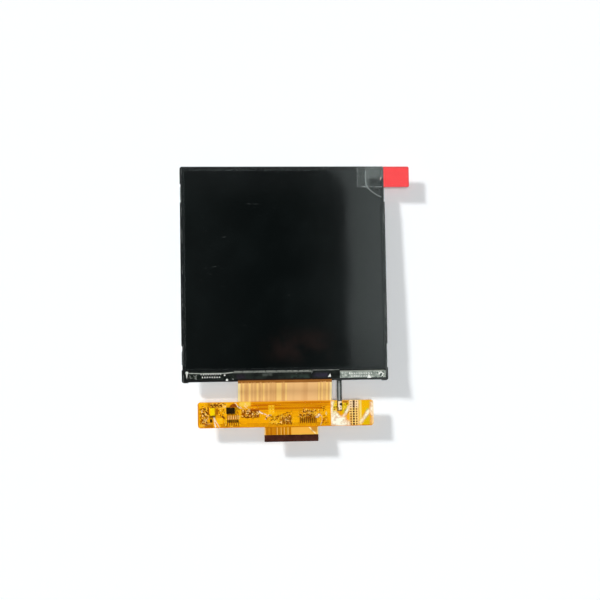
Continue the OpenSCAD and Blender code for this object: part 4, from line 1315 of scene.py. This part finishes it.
def sun(name, away, share, angle, gloss=True):
    """A lamp that gives the floor that share of full light, shining towards away."""
    lamp = bpy.data.lights.new(name, "SUN")
    direction = Vector(away).normalized()
    lamp.energy = share * math.pi / abs(direction.z)
    lamp.angle = math.radians(angle)
    holder = bpy.data.objects.new(name, lamp)
    holder.rotation_mode = "QUATERNION"
    holder.rotation_quaternion = direction.to_track_quat("-Z", "Y")
    holder.visible_glossy = gloss
    bpy.context.scene.collection.objects.link(holder)


def studio_world():
    """Even sky for diffuse light; gloss sees a white room with a dark panel above the camera."""
    world = bpy.data.worlds.new("studio")
    bpy.context.scene.world = world
    world.use_nodes = True
    graph = Graph(world.node_tree)
    x, y, z = graph.split(graph.add("TexCoord", output="Generated"))
    up = z | 0.02
    u, v = x / up, y / up
    # The dark panel, as a rounded rectangle in the directions overhead
    centre, half, corner = (-0.18, -0.16), (0.3087, 0.3295), 0.036
    du = abs(u - centre[0]) - (half[0] - corner) | 0.0
    dv = abs(v - centre[1]) - (half[1] - corner) | 0.0
    far = graph.length(du, dv)
    room = graph.step(far, corner - 0.003, corner + 0.004, 0, 1.32)
    room = room + graph.step(far, corner, corner + 0.035, 0, 0.6)
    # The panel itself is a little lighter towards its left, right and far sides
    glow = graph.step(u, 0.015, 0.07, 0.07, 0) + graph.step(u, 0.085, 0.125, 0, 0.13)
    room = room | glow + graph.step(v, 0.128, 0.16, 0, 0.13)
    # Away from overhead the room is dimmer, so that dull surfaces keep their depth
    room = room * graph.step(graph.length(u, v), 0.3, 0.9, 1, ROOM_LEVEL)
    room = room * graph.step(v, 0.01, 0.06, 0.7, 1)
    gloss = graph.rays("Glossy", "Transmission")
    level = gloss * room + (1.0 - gloss) * SKY_LEVEL
    shader = world.node_tree.nodes["Background"]
    graph.link(level | graph.rays("Camera"), shader.inputs["Strength"])
    # The room that gloss sees is a touch green
    graph.link(graph.mix(gloss, WHITE, (0.89, 1.0, 0.985, 1)), shader.inputs["Color"])


def camera():
    """The camera, straight above the part and a little to its lower left."""
    data = bpy.data.cameras.new("camera")
    data.lens = CAMERA_LENS
    data.sensor_width = 36
    data.clip_start, data.clip_end = 0.01, 20
    holder = bpy.data.objects.new("camera", data)
    holder.location = Vector(CAMERA_PLACE) * MM
    holder.rotation_euler = Euler([math.radians(a) for a in CAMERA_TURN])
    bpy.context.scene.collection.objects.link(holder)
    bpy.context.scene.camera = holder


floor()
sun("key", KEY_AWAY, KEY_SHARE, KEY_ANGLE)
sun("top", TOP_AWAY, TOP_SHARE, TOP_ANGLE, gloss=False)
studio_world()
camera()
bpy.context.scene.view_settings.view_transform = "Standard"
